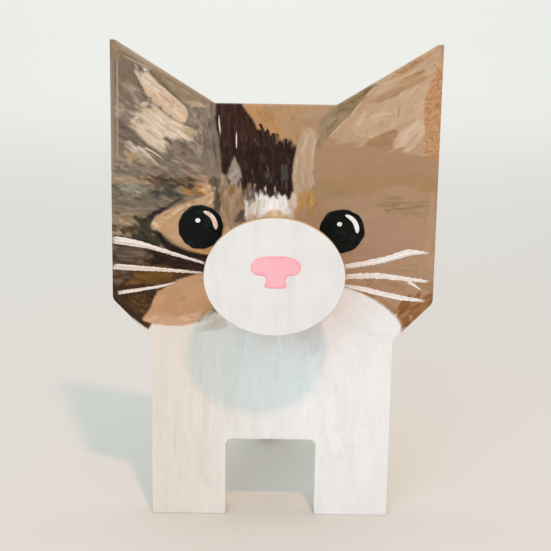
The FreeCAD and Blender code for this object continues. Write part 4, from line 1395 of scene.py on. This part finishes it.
nose_paint, tree, shader = material("pink_acrylic", Roughness=0.45)
place = add(tree, "ShaderNodeTexCoord").outputs["Object"]
cloud = add(tree, "ShaderNodeTexNoise", Vector=place, Scale=1 / (2.5 * MM), Detail=4.0)
rim = add(tree, "ShaderNodeAttribute", {"attribute_name": "rim"}).outputs["Fac"]
deeper = add(tree, "ShaderNodeMath", "SUBTRACT", in0=cloud,
             in1=add(tree, "ShaderNodeMath", "MULTIPLY", in0=rim, in1=0.45))
pink = add(tree, "ShaderNodeValToRGB", [(0.0, "#f59fab"), (0.25, "#f9afb8"), (0.6, "#fab8c0")],
           in0=deeper)
link(tree, shader, Base_Color=pink,
     Normal=add(tree, "ShaderNodeBump", Height=cloud, Strength=0.3, Distance=0.2 * MM))
ring = smoothed(corners)
found, joined = patch_rings(ring, NOSE_CENTRE, MUZZLE_FRONT, 0.18)
found = [(px, max(py, MUZZLE_FRONT - 0.3) if py < MUZZLE_FRONT else py, pz) for px, py, pz in found]
nose = face_out(mesh_piece("nose_paint", found, joined, nose_paint))
rim_layer = nose.data.attributes.new("rim", "FLOAT", "POINT")
spots = np.array([(v.co.x / MM, v.co.z / MM) for v in nose.data.vertices])
gaps = np.sqrt(((spots[:, None] - ring[None]) ** 2).sum(2)).min(1)
rim_layer.data.foreach_set("value", 1 - smooth_step(gaps / 0.9))
settle(nose)

# %% [markdown]
# ### Strokes that stand proud
# Whiskers, pale hairs and the tips of the dark patch are single strokes that repeat one rule: a
# bundle of bristles follows a path, each bristle leaves its own track, and the tracks start and end
# at slightly different places. That is work for Geometry Nodes. The guides are curves that lie flat,
# with the half width of the stroke as their radius. The tree copies each guide once for each
# bristle, sets the copies side by side, trims them, gives them a flat round section, and stands the
# result up against the panel.

# %% The tree for bristle strokes
bundle = bpy.data.node_groups.new("bristle_strokes", "GeometryNodeTree")
for name, kind in (("Guides", "NodeSocketGeometry"), ("Bristles", "NodeSocketInt"),
                   ("Flatness", "NodeSocketFloat"), ("Ragged", "NodeSocketFloat"),
                   ("Wobble", "NodeSocketFloat"), ("Seed", "NodeSocketInt"),
                   ("Plane", "NodeSocketFloat"), ("Finish", "NodeSocketMaterial")):
    bundle.interface.new_socket(name, in_out="INPUT", socket_type=kind)
bundle.interface.new_socket("Strokes", in_out="OUTPUT", socket_type="NodeSocketGeometry")
given = add(bundle, "NodeGroupInput").outputs
even = add(bundle, "GeometryNodeResampleCurve", {"mode": "LENGTH"}, in0=given["Guides"], in3=0.4 * MM)
upright = add(bundle, "GeometryNodeSetCurveNormal", {"mode": "Z_UP"}, in0=even)
copies = add(bundle, "GeometryNodeDuplicateElements", {"domain": "SPLINE"}, in0=upright,
             in2=given["Bristles"])
last_copy = add(bundle, "ShaderNodeMath", "SUBTRACT", in0=given["Bristles"], in1=0.999)
share = add(bundle, "ShaderNodeMath", "DIVIDE", in0=copies.outputs["Duplicate Index"], in1=last_copy)
across = add(bundle, "ShaderNodeMath", "MULTIPLY_ADD", in0=share, in1=2.0, in2=-1.0)
half_width = add(bundle, "GeometryNodeInputRadius")
reach = add(bundle, "ShaderNodeMath", "MULTIPLY", in0=half_width, in1=0.85)
aside = add(bundle, "ShaderNodeVectorMath", "SCALE", in0=add(bundle, "GeometryNodeInputNormal"),
            Scale=add(bundle, "ShaderNodeMath", "MULTIPLY", in0=across, in1=reach))
spread = add(bundle, "GeometryNodeSetPosition", in0=copies, Offset=aside)
number = add(bundle, "GeometryNodeInputIndex")

# %% [markdown]
# Random values trim each copy's ends and give it the tone that its material will read. The seed of
# each value is the set's own seed, moved on by one, so the three don't follow each other.

# %% The tree: trimming and tones
draws = []
for step, high in ((0.0, 1.0), (1.0, given["Ragged"]), (2.0, given["Ragged"])):
    seed = add(bundle, "ShaderNodeMath", "ADD", in0=given["Seed"], in1=step)
    draws.append(add(bundle, "FunctionNodeRandomValue", in2=0.0, in3=high, in7=number,
                     in8=seed).outputs[1])
toned = add(bundle, "GeometryNodeStoreNamedAttribute", {"data_type": "FLOAT", "domain": "CURVE"},
            in0=spread, Name="tone", in3=draws[0])
trimmed = add(bundle, "GeometryNodeTrimCurve", in0=toned, in2=draws[1],
              in3=add(bundle, "ShaderNodeMath", "SUBTRACT", in0=1.0, in1=draws[2]))

# %% [markdown]
# A noise makes each track waver in the plane of the panel and hardly at all out of it, and another
# lets it swell and thin. The section is a flattened octagon that fades towards both ends.

# %% The tree: tracks of paint
place = add(bundle, "GeometryNodeInputPosition")
own_noise = add(bundle, "ShaderNodeMath", "MULTIPLY_ADD", in0=number, in1=7.3, in2=given["Seed"])
shake = add(bundle, "ShaderNodeTexNoise", {"noise_dimensions": "4D"}, Vector=place, W=own_noise,
            Scale=1 / (2 * MM), Detail=2.0).outputs["Color"]
centred = add(bundle, "ShaderNodeVectorMath", "SUBTRACT", in0=shake, in1=(0.5, 0.5, 0.5))
shaken = add(bundle, "ShaderNodeVectorMath", "SCALE", in0=centred, Scale=given["Wobble"])
in_plane = add(bundle, "ShaderNodeVectorMath", "MULTIPLY", in0=shaken, in1=(1.0, 1.0, 0.15))
wavy = add(bundle, "GeometryNodeSetPosition", in0=trimmed, Offset=in_plane)
along = add(bundle, "ShaderNodeMath", "MULTIPLY", in0=add(bundle, "GeometryNodeSplineParameter"),
            in1=math.pi)
arch = add(bundle, "ShaderNodeMath", "POWER", in0=add(bundle, "ShaderNodeMath", "SINE", in0=along),
           in1=0.35)
swell = add(bundle, "ShaderNodeTexNoise", {"noise_dimensions": "4D"}, Vector=place, W=number,
            Scale=1 / (1.1 * MM), Detail=1.0)
swollen = add(bundle, "ShaderNodeMath", "MULTIPLY_ADD", in0=swell, in1=2.2, in2=0.8)
track = add(bundle, "ShaderNodeMath", "DIVIDE", in0=half_width, in1=given["Bristles"])
track = add(bundle, "ShaderNodeMath", "MULTIPLY", in0=track, in1=swollen)
track = add(bundle, "ShaderNodeMath", "MULTIPLY", in0=track, in1=arch)
track = add(bundle, "ShaderNodeMath", "ADD", in0=track, in1=0.02 * MM)
section = add(bundle, "GeometryNodeCurvePrimitiveCircle", in0=8, Radius=1.0)
squash = add(bundle, "ShaderNodeCombineXYZ", in0=1.0, in1=given["Flatness"], in2=1.0)
flat_section = add(bundle, "GeometryNodeTransform", in0=section, Scale=squash)
swept = add(bundle, "GeometryNodeCurveToMesh", in0=wavy, in1=flat_section, in2=track, in3=True)
against = add(bundle, "ShaderNodeCombineXYZ", in1=given["Plane"])
stood = add(bundle, "GeometryNodeTransform", in0=swept, in1=against.outputs["Vector"],
            Rotation=(math.pi / 2, 0.0, 0.0))
shaded = add(bundle, "GeometryNodeSetShadeSmooth", in0=stood)
real = add(bundle, "GeometryNodeRealizeInstances", in0=shaded)
finished = add(bundle, "GeometryNodeSetMaterial", in0=real, Material=given["Finish"])
link(bundle, add(bundle, "NodeGroupOutput"), Strokes=finished)
print("bristle tree of", len(bundle.nodes), "nodes")

# %% [markdown]
# A set of strokes shares one colour. Its material picks a tone for each bristle from the number that
# the tree stored with it, because a brush never picks paint up evenly.


# %% Making a set of strokes
def middle_half(tones):
    """Ramp stops for tones, spread over the middle half, where most of a noise's values lie."""
    return [(0.25 + 0.5 * i / (len(tones) - 1), tone) for i, tone in enumerate(tones)]


def bristle_paint(name, stops, roughness=0.45):
    """Acrylic whose tone changes from one bristle track to the next."""
    made, tree, shader = material(name, Roughness=roughness, Specular_IOR_Level=0.15)
    tone = add(tree, "ShaderNodeAttribute", {"attribute_name": "tone"}).outputs["Fac"]
    place = add(tree, "ShaderNodeTexCoord").outputs["Object"]
    cloud = add(tree, "ShaderNodeTexNoise", Vector=place, Scale=1 / (2.0 * MM), Detail=3.0)
    mixed = add(tree, "ShaderNodeMath", "MULTIPLY_ADD", in0=tone, in1=0.6,
                in2=add(tree, "ShaderNodeMath", "MULTIPLY", in0=cloud, in1=0.4))
    link(tree, shader, Base_Color=add(tree, "ShaderNodeValToRGB", middle_half(stops), in0=mixed))
    return made


def bristle_piece(name, guides, finish, bristles=5, flatness=0.55, ragged=0.06, wobble=0.25, seed=1,
                  plane=None, slot_name="painted_panel"):
    """A finished piece from guides: lists of (x, z, half width) in millimetres."""
    curve = bpy.data.curves.new(name + "_guides", "CURVE")
    curve.dimensions = "3D"
    for guide in guides:
        spline = curve.splines.new("NURBS")
        spline.points.add(len(guide) - 1)
        for point, (px, pz, half) in zip(spline.points, guide):
            point.co = (px * MM, pz * MM, 0, 1)
            point.radius = half * MM
        spline.order_u = 3
        spline.use_endpoint_u = True
        spline.resolution_u = 8
    guide_object = bpy.data.objects.new(name + "_guides", curve)
    bpy.context.scene.collection.objects.link(guide_object)
    maker = guide_object.modifiers.new("bristles", "NODES")
    maker.node_group = bundle
    values = {"Bristles": bristles, "Flatness": flatness, "Ragged": ragged, "Wobble": wobble * MM,
              "Seed": seed, "Plane": (PANEL_FRONT - 0.05 if plane is None else plane) * MM,
              "Finish": finish}
    for item in bundle.interface.items_tree:
        if item.in_out == "INPUT" and item.name in values:
            maker[item.identifier] = values[item.name]
    bpy.context.view_layer.update()
    evaluated = guide_object.evaluated_get(bpy.context.evaluated_depsgraph_get())
    mesh = bpy.data.meshes.new_from_object(evaluated)
    bpy.data.objects.remove(guide_object)
    piece = bpy.data.objects.new(name, mesh)
    mesh.name = name
    bpy.context.scene.collection.objects.link(piece)
    settle(piece)
    return piece


# %% [markdown]
# The whiskers are the boldest strokes on the face: three cream-white ones on each side, broad at the
# edge of the left cheek, and of more even width on the right, where the middle one forks.

# %% Whiskers
cream_bristles = bristle_paint("cream_acrylic_bristles", ["#cdb49f", "#e8dacb", "#f1e9e0"])
white_bristles = bristle_paint("white_acrylic_bristles", ["#e6dcd1", "#f2ece6", "#faf7f4"])
left_whiskers = [
    [(-54.1, 96.7, 1.35), (-47, 96.0, 1.05), (-40, 94.2, 0.65), (-31, 91.5, 0.5), (-22.5, 89.0, 0.35)],
    [(-54.1, 87.7, 1.0), (-47, 87.3, 0.85), (-39, 86.9, 0.6), (-31, 86.4, 0.45), (-23.4, 85.9, 0.25)],
    [(-52.5, 78.6, 0.6), (-48.2, 79.3, 0.62), (-42.6, 80.3, 0.42), (-37, 81.2, 0.4), (-33, 82.6, 0.15)],
]
right_whiskers = [[(22.5, 88.4, 0.75), (30, 89.7, 0.8), (38, 91.3, 0.9), (45, 93.9, 1.05),
                   (49, 93.9, 0.6), (53, 93.5, 0.15)], [(23, 85.0, 0.8), (31, 85.9, 0.85),
                                                        (38, 85.6, 0.8), (45.5, 84.6, 0.6),
                                                        (53, 83.9, 0.45)],
                  [(23, 82.4, 0.3), (29, 81.4, 0.8), (37, 79.5, 0.8), (44, 78.0, 0.75),
                   (52, 77.2, 0.35)], [(45, 84.0, 0.4), (47.5, 82.6, 0.35), (50, 80.9, 0.1)], ]
bristle_piece("whiskers_left", left_whiskers, cream_bristles, bristles=8, ragged=0.035, wobble=0.9,
              seed=3)
bristle_piece("whiskers_right", right_whiskers, white_bristles, bristles=6, wobble=1.3, seed=9)

# %% [markdown]
# Hair guides are fans: each hair starts near a line, runs in a given direction with a little bend,
# and gets a random length. The pale ones lie in the left ear, the dark ones make the loose tips
# round the dark patch, and two pale hairs on the patch have their own guides.


# %% Fans of hair
def fan(start, end, count, length, angle_start, angle_end, half, bend=0.08):
    """Guides that start along the line start-end and turn from angle_start to angle_end."""
    guides = []
    for share in (np.arange(count) + hand.uniform(0.1, 0.9, count)) / count:
        x0, z0 = (1 - share) * np.array(start) + share * np.array(end) + hand.normal(0, 0.5, 2)
        turn = math.radians((1 - share) * angle_start + share * angle_end + hand.normal(0, 4))
        reach = length * hand.uniform(0.6, 1.15)
        side = bend * reach * hand.normal(0, 1)
        middle = (x0 + 0.5 * reach * math.cos(turn) - side * math.sin(turn),
                  z0 + 0.5 * reach * math.sin(turn) + side * math.cos(turn))
        tip_at = (x0 + reach * math.cos(turn), z0 + reach * math.sin(turn))
        guides.append([(x0, z0, half), (*middle, half * 0.9), (*tip_at, half * 0.2)])
    return guides


hair_bristles = bristle_paint("pale_tan_acrylic_bristles", ["#c4ad92", "#d6c3ab", "#e6d9c8"])
dark_bristles = bristle_paint("dark_brown_acrylic_bristles", ["#20120c", "#2e1c15", "#3d2a22"], 0.4)
pale_hairs = fan((-45, 151), (-39, 148), 6, 10, -44, -38, 0.2)
pale_hairs += fan((-46, 139), (-40, 138), 6, 9, -38, -42, 0.22)
pale_hairs += fan((-46, 129), (-43, 127), 4, 8, -34, -40, 0.2)
forehead_hairs = [[(-18.7, 138.5, 0.07), (-18.6, 134.8, 0.13), (-18, 131.6, 0.06)],
                  [(-12.9, 133.3, 0.07), (-12.9, 130.4, 0.12), (-12.8, 127.2, 0.06)]]
tufts = fan((-9, 119), (5, 118), 12, 6, -93, -88, 0.4, 0.03)
tufts += fan((-9, 137), (5, 130), 9, 5.5, -72, -80, 0.4, 0.03)
for name, guides, finish, sizes in (
        ("ear_hairs", pale_hairs, hair_bristles,
         {"bristles": 3, "flatness": 0.4, "ragged": 0.15, "seed": 21}),
        ("forehead_tufts", tufts, dark_bristles,
         {"bristles": 4, "flatness": 0.4, "ragged": 0.18, "seed": 33}),
        ("forehead_hairs", forehead_hairs, cream_bristles,
         {"bristles": 2, "flatness": 0.5, "ragged": 0.2, "seed": 45, "plane": PANEL_FRONT - 0.15})):
    bristle_piece(name, guides, finish, wobble=0.3, **sizes)

# %% [markdown]
# ## The hardware
# The bridge block is pale hardwood, cut with its grain along its length, from muzzle to face. Wood
# fibres are far longer than they are wide, so their noise is stretched along the grain, and the
# growth rings are wide bands across it that wander a little. The pins are turned beech with short
# dark flecks.


# %% Solid wood
def solid_wood(name, grain_axis, ring_gap, tones, flecks=0.0):
    """A lacquered hardwood with growth rings ring_gap mm apart. tones run from dark to pale."""
    made, tree, shader = material(name, Roughness=0.5)
    place = add(tree, "ShaderNodeTexCoord").outputs["Object"]
    scale = [1 / (0.5 * MM)] * 3
    scale[grain_axis] = 1 / (9 * MM)
    fibre_place = add(tree, "ShaderNodeMapping", Vector=place, Scale=scale)
    fibres = add(tree, "ShaderNodeTexNoise", Vector=fibre_place, Scale=1.0, Detail=4.0)
    ring_scale = [1 / (ring_gap * MM)] * 3
    ring_scale[grain_axis] = 1 / (40 * MM)
    ring_place = add(tree, "ShaderNodeMapping", Vector=place, Scale=ring_scale)
    wander = add(tree, "ShaderNodeTexNoise", Vector=ring_place, Scale=0.35, Detail=2.0)
    axes = add(tree, "ShaderNodeSeparateXYZ", Vector=ring_place)
    outwards = add(tree, "ShaderNodeMath", "MULTIPLY_ADD", in0=wander, in1=6.0, in2=axes.outputs["Z"])
    rings = add(tree, "ShaderNodeMath", "PINGPONG", in0=outwards, in1=1.0)
    tone = add(tree, "ShaderNodeMath", "MULTIPLY_ADD", in0=rings, in1=0.45,
               in2=add(tree, "ShaderNodeMath", "MULTIPLY", in0=fibres, in1=0.55))
    if flecks:
        marks = add(tree, "ShaderNodeTexVoronoi", Vector=fibre_place, Scale=0.6).outputs["Distance"]
        fleck = add(tree, "ShaderNodeMath", "LESS_THAN", in0=marks, in1=0.22)
        tone = add(tree, "ShaderNodeMath", "SUBTRACT", in0=tone,
                   in1=add(tree, "ShaderNodeMath", "MULTIPLY", in0=fleck, in1=flecks))
    link(tree, shader, Base_Color=add(tree, "ShaderNodeValToRGB", middle_half(tones), in0=tone),
         Normal=add(tree, "ShaderNodeBump", Height=fibres, Strength=0.25, Distance=0.08 * MM))
    return made


BEECH_TONES = ["#b98a5c", "#cfa274", "#dbb389"]
nodes["bridge_block"].data.materials[0] = solid_wood("lacquered_limewood", 1, 1.6,
                                                     ["#c9a67a", "#dcc096", "#e8d2ac"])
beech = solid_wood("turned_beech", 1, 1.0, BEECH_TONES, 0.3)
nodes["muzzle_pins"].data.materials[0] = beech
nodes["socket_pins"].data.materials[0] = beech
nodes["cross_pin"].data.materials[0] = solid_wood("turned_beech_across", 0, 1.0, BEECH_TONES, 0.3)
print("wood on the block and the pins")

# %% [markdown]
# The screws are steel with a bright zinc coat. Zinc is not a mirror: its fine crystals blur the
# light, and the passivation leaves a faint blue and yellow cast in patches.

# %% Zinc-plated steel
zinc, tree, shader, place, cast = mottled(
    "bright_zinc_plated_steel", 1.5, [(0.3, "#b9bec6"), (0.5, "#c9cbcc"), (0.7, "#cfcabd")],
    Metallic=1.0, Roughness=0.32)
link(tree, shader, Roughness=add(tree, "ShaderNodeMapRange", in0=cast, in1=0.3, in2=0.7, in3=0.25,
                                 in4=0.42))
nodes["bridge_screws"].data.materials[0] = zinc
print("zinc on the screws")
